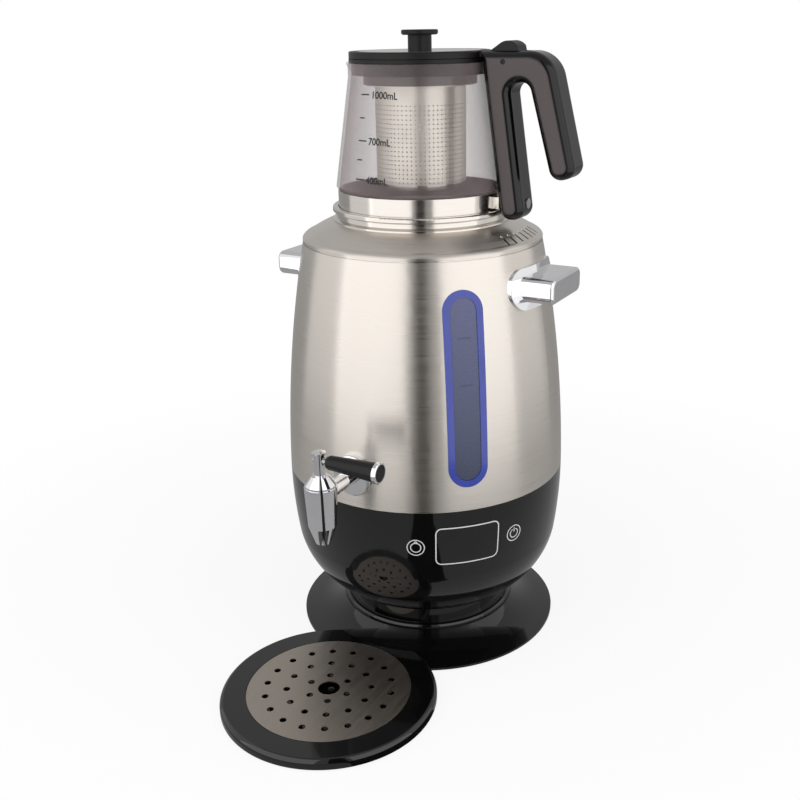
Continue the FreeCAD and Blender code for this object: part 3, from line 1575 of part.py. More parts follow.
NODES = (
    "base_skirt base_plate rubber_feet base_screws pedestal_neck bowl_housing display_panel "
    "display_module control_board touch_sensors power_board board_standoffs transformer relay "
    "heating_plate heating_element thermostats tie_rod tie_nut inlet_socket "
    "inlet_pins body_shell water_tank gauge_frame gauge_window gauge_gasket gauge_tube "
    "gauge_ports side_handle_right side_handle_left handle_screws tap_body tap_bonnet tap_rose "
    "tap_seal tap_nut tap_spindle lever_rod lever_grip lever_cap lever_ring shoulder_cover "
    "collar_ring cover_gasket teapot_base glass_jug infuser_ring infuser_sleeve infuser_basket "
    "basket_foot lid_disc lid_inset lid_knob lid_seal hinge_pin teapot_handle handle_bracket "
    "handle_screw drip_tray drain_plate"
).split()

for item in doc.Objects:
    if {"Invalid", "Error"} & set(item.State):
        raise RuntimeError(f"{item.Label} failed: {item.State}")

os.makedirs("parts", exist_ok=True)
for node in NODES:
    part = doc.getObjectsByLabel(node)[0]
    shape = part.Shape
    if shape.isNull() or not shape.isValid() or not shape.Solids:
        raise RuntimeError(f"{node} is not a valid solid")
    shape.exportStep(f"parts/{node}.step")
    print(f"{node}: {len(shape.Solids)} solid(s), {shape.Volume:.0f} mm3")
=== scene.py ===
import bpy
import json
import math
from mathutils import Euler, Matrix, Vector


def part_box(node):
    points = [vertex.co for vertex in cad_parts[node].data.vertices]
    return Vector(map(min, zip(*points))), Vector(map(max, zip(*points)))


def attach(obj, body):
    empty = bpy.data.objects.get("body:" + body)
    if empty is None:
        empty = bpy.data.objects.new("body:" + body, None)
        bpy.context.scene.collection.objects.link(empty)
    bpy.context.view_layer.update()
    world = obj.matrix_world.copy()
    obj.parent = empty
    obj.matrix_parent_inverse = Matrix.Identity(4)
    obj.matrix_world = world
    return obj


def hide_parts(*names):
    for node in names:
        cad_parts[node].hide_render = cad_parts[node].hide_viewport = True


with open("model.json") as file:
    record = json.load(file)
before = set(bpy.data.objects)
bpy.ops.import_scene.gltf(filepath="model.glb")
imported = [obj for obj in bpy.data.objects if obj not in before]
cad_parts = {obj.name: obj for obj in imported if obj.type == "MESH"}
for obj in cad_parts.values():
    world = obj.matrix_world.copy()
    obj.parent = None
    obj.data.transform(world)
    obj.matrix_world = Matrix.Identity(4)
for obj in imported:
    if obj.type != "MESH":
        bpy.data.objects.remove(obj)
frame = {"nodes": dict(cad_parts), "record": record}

# %% [markdown]
# # An electric samovar
# The object is a steel water tank in a tapered brushed shell, on a glossy black bowl and
# foot, with a tap and drip tray in front and a glass teapot on its top cover. The packed
# model already has the right solids, so this lesson gives each of them the finish that the
# real material has, and models what is too fine for a solid: the pierced strainer, the
# printed scale, the touch keys and the marks on the water gauge.
# Everything is in metres, with the origin on the table under the middle of the shell.

MM = 0.001
PICTURE_PIXELS = 800
FRONT_AZIMUTH = math.radians(-45)

nodes = frame["nodes"]
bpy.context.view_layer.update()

# %% [markdown]
# ## The camera
# The camera stands in front and to the right, above the teapot, and looks down at the tap.
# Its place was worked out from the rims and the side handles, whose real sizes are known.
# It leans a little, and its frame is shifted sideways, because the object stands right of
# the middle of the picture.

# %% Camera
CAMERA_PLACE = (368.6 * MM, -665.1 * MM, 463.8 * MM)
CAMERA_TILT = math.radians(90 - 20.34)
CAMERA_LEAN = -0.01564
CAMERA_SHIFT = -25.3 / PICTURE_PIXELS
CAMERA_LENS, CAMERA_SENSOR = 46.0, 36.0
CAMERA_NEAR = 10 * MM

camera_data = bpy.data.cameras.new("studio_camera")
camera = bpy.data.objects.new("studio_camera", camera_data)
bpy.context.scene.collection.objects.link(camera)
camera_data.lens = CAMERA_LENS
camera_data.sensor_width = CAMERA_SENSOR
camera_data.shift_x = CAMERA_SHIFT
camera_data.clip_start = CAMERA_NEAR
turn = Matrix.Rotation(math.atan2(CAMERA_PLACE[0], -CAMERA_PLACE[1]), 4, "Z")
tilt = Matrix.Rotation(CAMERA_TILT, 4, "X")
lean = Matrix.Rotation(CAMERA_LEAN, 4, "Z")
camera.matrix_world = Matrix.Translation(CAMERA_PLACE) @ turn @ tilt @ lean
bpy.context.scene.camera = camera
bpy.context.scene.view_settings.view_transform = "Standard"
print("camera at", [round(c, 3) for c in CAMERA_PLACE])

# %% [markdown]
# ## One way to write a colour and one way to add a node
# Colours are written as the hex values that a paint or picture program shows. Shaders work
# with light, not with screen values, so one function turns them. A second one adds a node,
# sets it and links it, so that each finish below reads as a list of its layers.

# %% Colour and node helpers
def light_from(hex_colour):
    parts = [int(hex_colour[i:i + 2], 16) / 255 for i in (1, 3, 5)]
    linear = [p / 12.92 if p <= 0.04045 else ((p + 0.055) / 1.055) ** 2.4 for p in parts]
    return (*linear, 1.0)


def add_node(tree, kind, values=None, links=None, **settings):
    node = tree.nodes.new(kind)
    for name, value in settings.items():
        setattr(node, name, value)
    for name, value in (values or {}).items():
        node.inputs[name].default_value = value
    for name, source in (links or {}).items():
        tree.links.new(source, node.inputs[name])
    return node


def new_finish(name):
    material = bpy.data.materials.new(name)
    material.use_nodes = True
    material.node_tree.nodes.clear()
    return material, material.node_tree


print("white is", [round(c, 2) for c in light_from("#ffffff")])

# %% [markdown]
# ## How a finish is layered
# A real surface is never one colour with one gloss. Each finish starts from a pattern that
# the making of the surface leaves: long scratches from a brushing belt, the fine orange
# peel of a moulded part, or the mottle of a casting. The pattern is noise, drawn at the
# real spacing in millimetres and stretched along the direction of work. It moves the
# colour a little, the gloss more, and the height of the surface least of all.

# %% A finish from its grain
def layered_finish(name, light_hex, dark_hex, grain_mm, gloss, height_mm=0.0, **shader):
    """gloss is the roughness at the two ends of the pattern, grain_mm its spacing on X, Y and Z."""
    material, tree = new_finish(name)
    place = add_node(tree, "ShaderNodeTexCoord")
    spread = add_node(
        tree, "ShaderNodeMapping",
        {"Scale": [1 / (g * MM) for g in grain_mm]},
        {"Vector": place.outputs["Object"]})
    grain = add_node(
        tree, "ShaderNodeTexNoise",
        {"Scale": 1.0, "Detail": 3.0, "Roughness": 0.6},
        {"Vector": spread.outputs["Vector"]})
    colour = add_node(
        tree, "ShaderNodeMix", None, {"Factor": grain.outputs["Fac"]}, data_type="RGBA")
    colour.inputs[6].default_value = light_from(dark_hex)
    colour.inputs[7].default_value = light_from(light_hex)
    rough = add_node(
        tree, "ShaderNodeMapRange",
        {"From Min": 0.3, "From Max": 0.7, "To Min": gloss[0], "To Max": gloss[1]},
        {"Value": grain.outputs["Fac"]})
    links = {"Base Color": colour.outputs[2], "Roughness": rough.outputs["Result"]}
    if height_mm:
        relief = add_node(
            tree, "ShaderNodeBump",
            {"Strength": 0.5, "Distance": height_mm * MM},
            {"Height": grain.outputs["Fac"]})
        links["Normal"] = relief.outputs["Normal"]
    body = add_node(tree, "ShaderNodeBsdfPrincipled", shader, links)
    add_node(tree, "ShaderNodeOutputMaterial", None, {"Surface": body.outputs["BSDF"]})
    return material


# %% [markdown]
# ## Steel and chrome
# The shell and its cover are stainless steel, brushed round the axis while they turned on
# a lathe. The scratches are about 0.1 mm apart, too fine for this picture, so they are
# drawn 0.6 mm apart and 60 mm long. They spread a highlight up and down and not round the
# shell, which is why brushed cans show upright bands: anisotropy turned by a quarter.

# %% Brushed steel
ROUND_GRAIN = (60, 60, 0.6)

brushed_steel = layered_finish(
    "brushed_stainless_steel", "#ddd7d0", "#d0c9c1", ROUND_GRAIN, (0.27, 0.35), 0.005,
    Metallic=1.0, Anisotropic=0.75, **{"Anisotropic Rotation": 0.25})
tree = brushed_steel.node_tree
turned = add_node(tree, "ShaderNodeTangent", direction_type="RADIAL", axis="Z")
tree.links.new(turned.outputs["Tangent"], tree.nodes["Principled BSDF"].inputs["Tangent"])
print(brushed_steel.name, "has", len(tree.nodes), "nodes")

# %% [markdown]
# The collar, the teapot's band and the lid's inlay are rolled sheet with a finer polish.
# The drain plate and the strainer are plain satin sheet, with straight rolling lines. The
# tap and the side handles are zinc castings with a bright chrome plating, almost a mirror,
# and the screws and the heater are bare steel.

# %% Polished, satin and plated metal
polished_steel = layered_finish(
    "polished_stainless_steel", "#e2ddd7", "#d3cdc6", ROUND_GRAIN, (0.12, 0.2), 0.004,
    Metallic=1.0)
satin_sheet = layered_finish(
    "satin_steel_sheet", "#beb5ab", "#a39a91", (0.5, 40, 40), (0.3, 0.42), 0.01,
    Metallic=1.0)
strainer_steel = layered_finish(
    "pierced_steel_sheet", "#f3eee4", "#e6e0d5", (30, 30, 0.8), (0.3, 0.42), 0.006,
    Metallic=0.85)
chrome = layered_finish(
    "bright_chrome_plating", "#eeeef0", "#e2e2e5", (9, 9, 9), (0.03, 0.07),
    Metallic=1.0)
bare_steel = layered_finish(
    "bare_machined_steel", "#b9b6b2", "#a3a09c", (4, 4, 0.8), (0.25, 0.4), 0.01,
    Metallic=1.0)
cast_aluminium = layered_finish(
    "cast_aluminium", "#b4b3b1", "#96958f", (1.5, 1.5, 1.5), (0.45, 0.6), 0.05,
    Metallic=1.0)
brass = layered_finish(
    "turned_brass", "#d3b26a", "#b9974f", (3, 3, 0.8), (0.25, 0.35), 0.01,
    Metallic=1.0)
iron_laminations = layered_finish(
    "stacked_iron_sheets", "#77736c", "#4e4b46", (20, 20, 0.7), (0.45, 0.6), 0.05,
    Metallic=0.8)
print("nine metals made")

# %% [markdown]
# ## Plastics, rubber and paint
# The bowl, the foot and the tray are ABS from a polished mould. It has a very slight
# orange peel, a few millimetres wide, that only shows where it bends a reflection. The
# lid and its knob are the same plastic from a fine-sparked mould, which scatters light.

# %% Black plastics and rubber
gloss_black = layered_finish(
    "polished_black_abs", "#0d0d0e", "#080808", (14, 14, 14), (0.05, 0.09), 0.01,
    IOR=1.5, **{"Coat Weight": 0.2, "Coat Roughness": 0.04})
satin_black = layered_finish(
    "sparked_black_abs", "#151414", "#0d0c0c", (0.5, 0.5, 0.5), (0.36, 0.46), 0.012,
    IOR=1.36)
smoke_plastic = layered_finish(
    "smoked_polycarbonate", "#6b6562", "#57514e", (12, 12, 12), (0.12, 0.2),
    IOR=1.58, **{"Transmission Weight": 0.35})
rubber = layered_finish(
    "black_silicone_rubber", "#1c1b1b", "#151414", (0.8, 0.8, 0.8), (0.6, 0.75), 0.02,
    IOR=1.45)
circuit_board = layered_finish(
    "green_circuit_board", "#2f6b3d", "#245530", (3, 3, 3), (0.3, 0.45), 0.02,
    IOR=1.5)
can_steel = layered_finish(
    "tinned_thermostat_can", "#c9c6bf", "#aeaba4", (2, 2, 2), (0.3, 0.42), 0.01,
    Metallic=1.0)
blue_frame = layered_finish(
    "blue_clear_acrylic", "#3547ad", "#28378c", (10, 10, 18), (0.12, 0.2),
    IOR=1.49, **{"Coat Weight": 0.4, "Coat Roughness": 0.06})
print("plastics made")

# %% [markdown]
# ## Clear glass
# The teapot is blown borosilicate glass, clear and about 2 mm thick. So thin a wall hardly
# bends what is behind it, but it greys it a little, and more where one looks along it, near
# the jug's sides. So the wall is drawn as a film that covers a part of what is behind:
# little where it faces the eye, much where it turns away. A polished coat of reflections
# comes with it. Rays that only ask for shadow pass with a small loss, as light does.

# %% Glass as a thin clear wall
COVER_FACING, COVER_EDGE = 0.12, 0.8
SHADOW_PASSED = 0.9

clear_glass, tree = new_finish("clear_borosilicate_glass")
path = add_node(tree, "ShaderNodeLightPath")
place = add_node(tree, "ShaderNodeTexCoord")
waves = add_node(
    tree, "ShaderNodeTexNoise", {"Scale": 30.0, "Detail": 1.0},
    {"Vector": place.outputs["Object"]})
ripple = add_node(
    tree, "ShaderNodeBump", {"Strength": 0.1, "Distance": 0.4 * MM},
    {"Height": waves.outputs["Fac"]})
turning = add_node(tree, "ShaderNodeLayerWeight", {"Blend": 0.25})
cover = add_node(
    tree, "ShaderNodeMapRange", {"To Min": COVER_FACING, "To Max": COVER_EDGE},
    {"Value": turning.outputs["Facing"]})
kept = add_node(
    tree, "ShaderNodeMath", {1: -SHADOW_PASSED, 2: 1.0},
    {0: path.outputs["Is Shadow Ray"]}, operation="MULTIPLY_ADD")
share = add_node(
    tree, "ShaderNodeMath", None,
    {0: cover.outputs["Result"], 1: kept.outputs["Value"]}, operation="MULTIPLY")
glass_body = add_node(
    tree, "ShaderNodeBsdfPrincipled",
    {"Base Color": light_from("#a19394"), "Roughness": 0.03, "IOR": 1.47},
    {"Normal": ripple.outputs["Normal"], "Alpha": share.outputs["Value"]})
add_node(tree, "ShaderNodeOutputMaterial", None, {"Surface": glass_body.outputs["BSDF"]})
print(clear_glass.name, "covers", COVER_FACING, "to", COVER_EDGE)

# %% [markdown]
# ## The teapot's handle
# The handle is one black moulding with two finishes. Its flat side faces are sparked, and
# they are coloured warm grey: a painted sheen, for the light that the sparked faces catch.
# The rounded grip between them is polished black, so that it is pleasant to hold. The mask
# is the surface's own direction: a face that looks along Y is a side face.

# %% Handle with matt cheeks in a painted sheen and a polished grip
CHEEK_START, CHEEK_FULL = 0.93, 0.985

handle_plastic, tree = new_finish("black_abs_painted_cheek_sheen")
facing = add_node(tree, "ShaderNodeNewGeometry")
parts = add_node(tree, "ShaderNodeSeparateXYZ", None, {"Vector": facing.outputs["Normal"]})
sideways = add_node(
    tree, "ShaderNodeMath", None, {0: parts.outputs["Y"]}, operation="ABSOLUTE")
cheek = add_node(
    tree, "ShaderNodeMapRange", {"From Min": CHEEK_START, "From Max": CHEEK_FULL},
    {"Value": sideways.outputs["Value"]})
# The cheeks' warm grey below is a painted sheen; the polished grip keeps the black.
cheek_sheen_colour = add_node(
    tree, "ShaderNodeMix", None, {"Factor": cheek.outputs["Result"]}, data_type="RGBA")
cheek_sheen_colour.inputs[6].default_value = light_from("#0a0909")
cheek_sheen_colour.inputs[7].default_value = light_from("#504849")
place = add_node(tree, "ShaderNodeTexCoord")
spark = add_node(
    tree, "ShaderNodeTexNoise", {"Scale": 1800.0, "Detail": 2.0},
    {"Vector": place.outputs["Object"]})
matt = add_node(
    tree, "ShaderNodeMapRange", {"To Min": 0.14, "To Max": 0.45},
    {"Value": cheek.outputs["Result"]})
relief = add_node(
    tree, "ShaderNodeBump", {"Distance": 0.015 * MM},
    {"Height": spark.outputs["Fac"], "Strength": cheek.outputs["Result"]})
handle_body = add_node(
    tree, "ShaderNodeBsdfPrincipled", {"IOR": 1.42},
    {"Base Color": cheek_sheen_colour.outputs[2], "Roughness": matt.outputs["Result"],
     "Normal": relief.outputs["Normal"]})
add_node(tree, "ShaderNodeOutputMaterial", None, {"Surface": handle_body.outputs["BSDF"]})
print(handle_plastic.name, "made")

# %% [markdown]
# ## The gauge's window
# The window is frosted acrylic over the level tube. It is lit from above by the room and
# from inside by nothing, so it gets deeper towards its foot. A ramp along Z follows that.

# %% Frosted window
WINDOW_FOOT, WINDOW_TOP = (bound.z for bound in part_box("gauge_window"))

window_acrylic, tree = new_finish("frosted_blue_acrylic")
place = add_node(tree, "ShaderNodeTexCoord")
height = add_node(tree, "ShaderNodeSeparateXYZ", None, {"Vector": place.outputs["Object"]})
rise = add_node(
    tree, "ShaderNodeMapRange", {"From Min": WINDOW_FOOT, "From Max": WINDOW_TOP},
    {"Value": height.outputs["Z"]})
tint = add_node(
    tree, "ShaderNodeMix", None, {"Factor": rise.outputs["Result"]}, data_type="RGBA")
tint.inputs[6].default_value = light_from("#383f57")
tint.inputs[7].default_value = light_from("#585c80")
frost = add_node(
    tree, "ShaderNodeTexNoise", {"Scale": 900.0, "Detail": 2.0},
    {"Vector": place.outputs["Object"]})
frost_gloss = add_node(
    tree, "ShaderNodeMapRange", {"To Min": 0.22, "To Max": 0.34},
    {"Value": frost.outputs["Fac"]})
window_body = add_node(
    tree, "ShaderNodeBsdfPrincipled", {"IOR": 1.49},
    {"Base Color": tint.outputs[2], "Roughness": frost_gloss.outputs["Result"]})
add_node(tree, "ShaderNodeOutputMaterial", None, {"Surface": window_body.outputs["BSDF"]})
print("window from", round(WINDOW_FOOT, 3), "to", round(WINDOW_TOP, 3), "m")

# %% [markdown]
# ## Giving the solids their finishes
# The record already says which finish slot each solid has. One table turns a slot into a
# finish, and a second one names the few solids whose finish differs from their neighbours
# in the same slot.

# %% Finishes by slot
FINISH_OF_SLOT = {
    "gloss_black": gloss_black, "satin_black": satin_black, "smoke_plastic": smoke_plastic,
    "brushed_shell": brushed_steel, "polished_steel": polished_steel,
    "chrome_plate": chrome, "plain_steel": bare_steel, "cast_plate": cast_aluminium,
    "thermostat_can": can_steel, "brass_nut": brass, "black_rubber": rubber,
    "clear_glass": clear_glass, "blue_frame": blue_frame, "smoke_window": window_acrylic,
    "circuit_board": circuit_board, "transformer_iron": iron_laminations,
}
FINISH_OF_NODE = {
    "drain_plate": satin_sheet, "lid_knob": satin_black, "hinge_pin": satin_black,
    "teapot_handle": handle_plastic,
}

for subpart in frame["record"]["subparts"]:
    solid = nodes[subpart["node"]]
    finish = FINISH_OF_NODE.get(subpart["node"], FINISH_OF_SLOT[subpart["material_slot"]])
    if not solid.data.materials:
        solid.data.materials.append(finish)
    for number in range(len(solid.data.materials)):
        solid.data.materials[number] = finish

# %% [markdown]
# ## Modelling as by hand
# New pieces are made with the same operators that a person would click. A few helpers
# keep the cells short. They clear the selection, pick one piece, open it for editing,
# select by place and apply modifiers. The last one ends a piece, which puts its origin
# back to the table and its place into its mesh.

# %% Modelling helpers
def start_afresh():
    if bpy.context.object and bpy.context.object.mode != "OBJECT":
        bpy.ops.object.mode_set(mode="OBJECT")
    bpy.ops.object.select_all(action="DESELECT")


def pick(piece):
    start_afresh()
    piece.select_set(True)
    bpy.context.view_layer.objects.active = piece


def edit_all():
    """Opens the active piece for editing with everything selected."""
    bpy.ops.object.mode_set(mode="EDIT")
    bpy.ops.mesh.select_all(action="SELECT")


def select_where(piece, kind, test):
    """Selects vertices, edges or faces by a test on their middle, in edit mode."""
    bpy.ops.object.mode_set(mode="EDIT")
    bpy.ops.mesh.select_mode(type=kind)
    bpy.ops.mesh.select_all(action="DESELECT")
    bpy.ops.object.mode_set(mode="OBJECT")
    mesh = piece.data
    points = [v.co for v in mesh.vertices]
    parts = {"VERT": mesh.vertices, "EDGE": mesh.edges, "FACE": mesh.polygons}[kind]
    for part in parts:
        corners = [points[i] for i in part.vertices] if kind != "VERT" else [part.co]
        part.select = bool(test(sum(corners, Vector()) / len(corners), part))
    bpy.ops.object.mode_set(mode="EDIT")


def apply_modifiers(piece):
    pick(piece)
    for modifier in list(piece.modifiers):
        bpy.ops.object.modifier_apply(modifier=modifier.name)


def end_piece(piece, name, body, finish, stands_for=()):
    apply_modifiers(piece)
    bpy.ops.object.transform_apply(location=True, rotation=True, scale=True)
    piece.name = name
    piece.data.name = name
    piece.data.materials.clear()
    piece.data.materials.append(finish)
    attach(piece, body)
    if stands_for:
        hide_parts(*stands_for)
    print(name, "has", len(piece.data.polygons), "faces")


# %% [markdown]
# ## The pierced strainer
# The tea strainer is a tube of thin steel sheet, pierced with about 1 mm holes 3.1 mm
# apart, with a plain band above and below, a rim that hangs on the smoked ring and a
# closed bottom. One cell is modelled: eight edges round a hole, drawn out to a square
# tile. An array stacks it, a second one turns it round the axis, and the seams between
# the tiles are merged. That keeps every hole a real one for a few faces each.

# %% Strainer values
basket_low, basket_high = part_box("infuser_basket")
SHEET = 0.6 * MM
BASKET_RADIUS = 32 * MM
HOLE_RADIUS = 0.5 * MM
TILES_ROUND = 65
TILES_HIGH = 18
TILE_HALF = BASKET_RADIUS * math.tan(math.pi / TILES_ROUND)
PIERCED_FOOT = basket_low.z + 3 * MM
SEAM_TOLERANCE, WELD_TOLERANCE, HEIGHT_TOLERANCE = 0.02 * MM, 0.03 * MM, 0.01 * MM
print("tiles are", round(2 * TILE_HALF / MM, 2), "mm wide")

# %% One tile with its hole
start_afresh()
bpy.ops.mesh.primitive_circle_add(
    vertices=8, radius=HOLE_RADIUS, fill_type="NOTHING",
    location=(0, 0, 0), rotation=(0, 0, 0))
strainer = bpy.context.object
edit_all()
bpy.ops.mesh.extrude_region_move()
bpy.ops.transform.resize(value=[TILE_HALF / HOLE_RADIUS] * 3, center_override=(0, 0, 0))
select_where(
    strainer, "VERT",
    lambda p, v: p.length > TILE_HALF * 0.9 and min(abs(p.x), abs(p.y)) > TILE_HALF * 0.3)
bpy.ops.transform.resize(value=[math.sqrt(2)] * 3, center_override=(0, 0, 0))
bpy.ops.object.mode_set(mode="OBJECT")
print("one tile has", len(strainer.data.polygons), "faces")

# %% Stand the tile up on the tube's wall
strainer.rotation_euler = (math.radians(90), 0, 0)
strainer.location = (0, -BASKET_RADIUS, PIERCED_FOOT + TILE_HALF)
bpy.ops.object.transform_apply(location=True, rotation=True, scale=True)

stack = strainer.modifiers.new("stack", "ARRAY")
stack.use_relative_offset = False
stack.use_constant_offset = True
stack.constant_offset_displace = (0, 0, 2 * TILE_HALF)
stack.count = TILES_HIGH
stack.use_merge_vertices = True
stack.merge_threshold = SEAM_TOLERANCE
apply_modifiers(strainer)

step_round = bpy.data.objects.new("step_round", None)
bpy.context.scene.collection.objects.link(step_round)
step_round.rotation_euler = (0, 0, 2 * math.pi / TILES_ROUND)
bpy.context.view_layer.update()
ring = strainer.modifiers.new("ring", "ARRAY")
ring.use_relative_offset = False
ring.use_object_offset = True
ring.offset_object = step_round
ring.count = TILES_ROUND
apply_modifiers(strainer)
bpy.data.objects.remove(step_round)

edit_all()
bpy.ops.mesh.remove_doubles(threshold=WELD_TOLERANCE)
bpy.ops.mesh.normals_make_consistent(inside=False)
bpy.ops.object.mode_set(mode="OBJECT")
print("the pierced wall has", len(strainer.data.polygons), "faces")

# %% [markdown]
# The plain bands are the wall's own edge loops, drawn out. The upper loop goes up to the
# rim and then outwards, and the lower one goes down and then in to a closed bottom.

# %% Plain bands, rim and bottom
PIERCED_TOP = PIERCED_FOOT + 2 * TILE_HALF * TILES_HIGH
RIM_RADIUS = 39.3 * MM
BOTTOM_HOLE = 2 * MM

select_where(strainer, "EDGE", lambda p, e: abs(p.z - PIERCED_TOP) < HEIGHT_TOLERANCE)
bpy.ops.mesh.extrude_region_move(
    TRANSFORM_OT_translate={"value": (0, 0, basket_high.z - PIERCED_TOP)})
bpy.ops.mesh.extrude_region_move()
rim_share = RIM_RADIUS / BASKET_RADIUS
bpy.ops.transform.resize(
    value=(rim_share, rim_share, 1), center_override=(0, 0, basket_high.z))
select_where(strainer, "EDGE", lambda p, e: abs(p.z - PIERCED_FOOT) < HEIGHT_TOLERANCE)
bpy.ops.mesh.extrude_region_move(
    TRANSFORM_OT_translate={"value": (0, 0, basket_low.z - PIERCED_FOOT)})
bpy.ops.mesh.extrude_region_move()
bottom_share = BOTTOM_HOLE / BASKET_RADIUS
bpy.ops.transform.resize(
    value=(bottom_share, bottom_share, 1), center_override=(0, 0, basket_low.z))
bpy.ops.mesh.edge_face_add()
bpy.ops.mesh.select_all(action="SELECT")
bpy.ops.mesh.normals_make_consistent(inside=False)
bpy.ops.object.mode_set(mode="OBJECT")

wall = strainer.modifiers.new("wall", "SOLIDIFY")
wall.thickness = SHEET
wall.offset = -1
end_piece(
    strainer, "pierced_strainer", "teapot", strainer_steel,
    ["infuser_basket"])
bpy.ops.object.shade_smooth_by_angle(angle=math.radians(40))

# %% [markdown]
# ## Ink on curved surfaces
# The scale, the touch keys and the gauge's marks are printed. Each one starts flat, just
# outside the surface, and a Shrinkwrap modifier lays it on the nearest point of the glass
# or plastic. A Solidify modifier then gives it the thickness of a screen print, so the
# faces of ink and surface never lie in the same place and flicker.

# %% Inks and how a print is laid down
INK_THICKNESS = 0.06 * MM
LAY_DISTANCE = 0.03 * MM

black_ink = layered_finish(
    "black_screen_print", "#1e1c1c", "#171515", (1, 1, 1), (0.4, 0.55), IOR=1.5)
silver_ink = layered_finish(
    "silver_screen_print", "#e4e4e2", "#cfcfcd", (1, 1, 1), (0.35, 0.5), IOR=1.5)
gauge_ink = layered_finish(
    "dark_blue_screen_print", "#3c4363", "#333a58", (1, 1, 1), (0.4, 0.55), IOR=1.5)


def lay_print(piece, carrier, azimuth, reach, height):
    """Turns a print drawn flat on XY to face the azimuth, and lays it on the carrier."""
    pick(piece)
    upright = Euler((math.radians(90), 0, azimuth + math.radians(90))).to_matrix().to_4x4()
    outwards = Vector((math.cos(azimuth), math.sin(azimuth), 0)) * reach
    piece.matrix_world = Matrix.Translation(outwards + Vector((0, 0, height))) @ upright
    bpy.ops.object.transform_apply(location=True, rotation=True, scale=True)
    lay = piece.modifiers.new("lay", "SHRINKWRAP")
    lay.target = nodes[carrier]
    lay.wrap_method = "NEAREST_SURFACEPOINT"
    lay.wrap_mode = "ABOVE_SURFACE"
    lay.offset = LAY_DISTANCE
    film = piece.modifiers.new("film", "SOLIDIFY")
    film.thickness = INK_THICKNESS
    film.offset = 1


def draw_ring(radius, line, corners=48):
    start_afresh()
    bpy.ops.mesh.primitive_circle_add(vertices=corners, radius=radius, fill_type="NGON")
    piece = bpy.context.object
    edit_all()
    bpy.ops.mesh.inset(thickness=line)
    bpy.ops.mesh.delete(type="FACE")
    bpy.ops.object.mode_set(mode="OBJECT")
    return piece


def draw_bar(wide, high, at=(0, 0), turn=0.0):
    start_afresh()
    bpy.ops.mesh.primitive_plane_add(size=1, location=(at[0], at[1], 0), rotation=(0, 0, turn))
    piece = bpy.context.object
    piece.scale = (wide, high, 1)
    bpy.ops.object.transform_apply(location=True, rotation=True, scale=True)
    edit_all()
    bpy.ops.mesh.subdivide(number_cuts=3)
    bpy.ops.object.mode_set(mode="OBJECT")
    return piece


def join_pieces(parts):
    start_afresh()
    for part in parts:
        part.select_set(True)
    bpy.context.view_layer.objects.active = parts[0]
    bpy.ops.object.join()
    return bpy.context.object


print("ink is", INK_THICKNESS / MM, "mm thick")

# %% [markdown]
# ## The teapot's scale
# Three long strokes with their volume, and short strokes half way between, are printed on
# the glass. The heights come from the picture, on the front of the jug.

# %% Scale strokes and numbers
SCALE_AZIMUTH = math.radians(-100)
SCALE_LINES = [(417.7, "1000mL"), (402.5, ""), (387.5, "700mL"), (374.8, ""), (361.8, "400mL")]
LONG_STROKE, SHORT_STROKE, STROKE_LINE = 8 * MM, 5 * MM, 0.9 * MM
STROKE_START, SCALE_CLEARANCE = -10 * MM, 0.5 * MM
NUMBER_SIZE = 6.6 * MM
NUMBER_DROP, NUMBER_WEIGHT = 0.36 * NUMBER_SIZE, 0.02 * NUMBER_SIZE
JUG_FOOT_RADIUS, JUG_NECK_RADIUS = 62.6 * MM, 51.2 * MM
JUG_FOOT, JUG_NECK = 351.9 * MM, 427.9 * MM

for count, (height_mm, words) in enumerate(SCALE_LINES):
    share = (height_mm * MM - JUG_FOOT) / (JUG_NECK - JUG_FOOT)
    reach = JUG_FOOT_RADIUS + (JUG_NECK_RADIUS - JUG_FOOT_RADIUS) * share + SCALE_CLEARANCE
    length = LONG_STROKE if words else SHORT_STROKE
    parts = [draw_bar(length, STROKE_LINE, at=(STROKE_START + length / 2, 0))]
    if words:
        start_afresh()
        bpy.ops.object.text_add(location=(0, -NUMBER_DROP, 0))
        number = bpy.context.object
        number.data.body = words
        number.data.size = NUMBER_SIZE
        number.data.offset = NUMBER_WEIGHT
        bpy.ops.object.convert(target="MESH")
        parts.append(bpy.context.object)
    stroke = join_pieces(parts)
    bpy.ops.object.transform_apply(location=True, rotation=True, scale=True)
    lay_print(stroke, "glass_jug", SCALE_AZIMUTH, reach, height_mm * MM)
    end_piece(stroke, f"scale_mark_{count + 1}", "teapot", black_ink)

# %% [markdown]
# ## The display's outline and the two touch keys
# A silver line frames the dark display. Left of it a key has a double ring with a small
# peak, and right of it one has the usual sign for power: a broken ring with a stroke.

# %% Display outline
DISPLAY_WIDE, DISPLAY_HIGH, DISPLAY_CORNER, DISPLAY_LINE = 50 * MM, 31 * MM, 5 * MM, 0.9 * MM
DISPLAY_HEIGHT = 108 * MM
BOWL_REACH = 108 * MM

start_afresh()
bpy.ops.mesh.primitive_plane_add(size=1)
outline = bpy.context.object
outline.scale = (DISPLAY_WIDE, DISPLAY_HIGH, 1)
bpy.ops.object.transform_apply(location=True, rotation=True, scale=True)
edit_all()
bpy.ops.mesh.bevel(offset=DISPLAY_CORNER, segments=8, affect="VERTICES")
bpy.ops.object.mode_set(mode="OBJECT")
corners = [v.co.copy() for v in outline.data.vertices]
select_where(
    outline, "EDGE",
    lambda p, e: (corners[e.vertices[0]] - corners[e.vertices[1]]).length > DISPLAY_CORNER)
bpy.ops.mesh.subdivide(number_cuts=15)
bpy.ops.mesh.select_mode(type="FACE")
bpy.ops.mesh.select_all(action="SELECT")
bpy.ops.mesh.inset(thickness=DISPLAY_LINE)
bpy.ops.mesh.delete(type="FACE")
bpy.ops.object.mode_set(mode="OBJECT")
lay_print(outline, "display_panel", FRONT_AZIMUTH, BOWL_REACH, DISPLAY_HEIGHT)
end_piece(outline, "display_outline", "root", silver_ink)

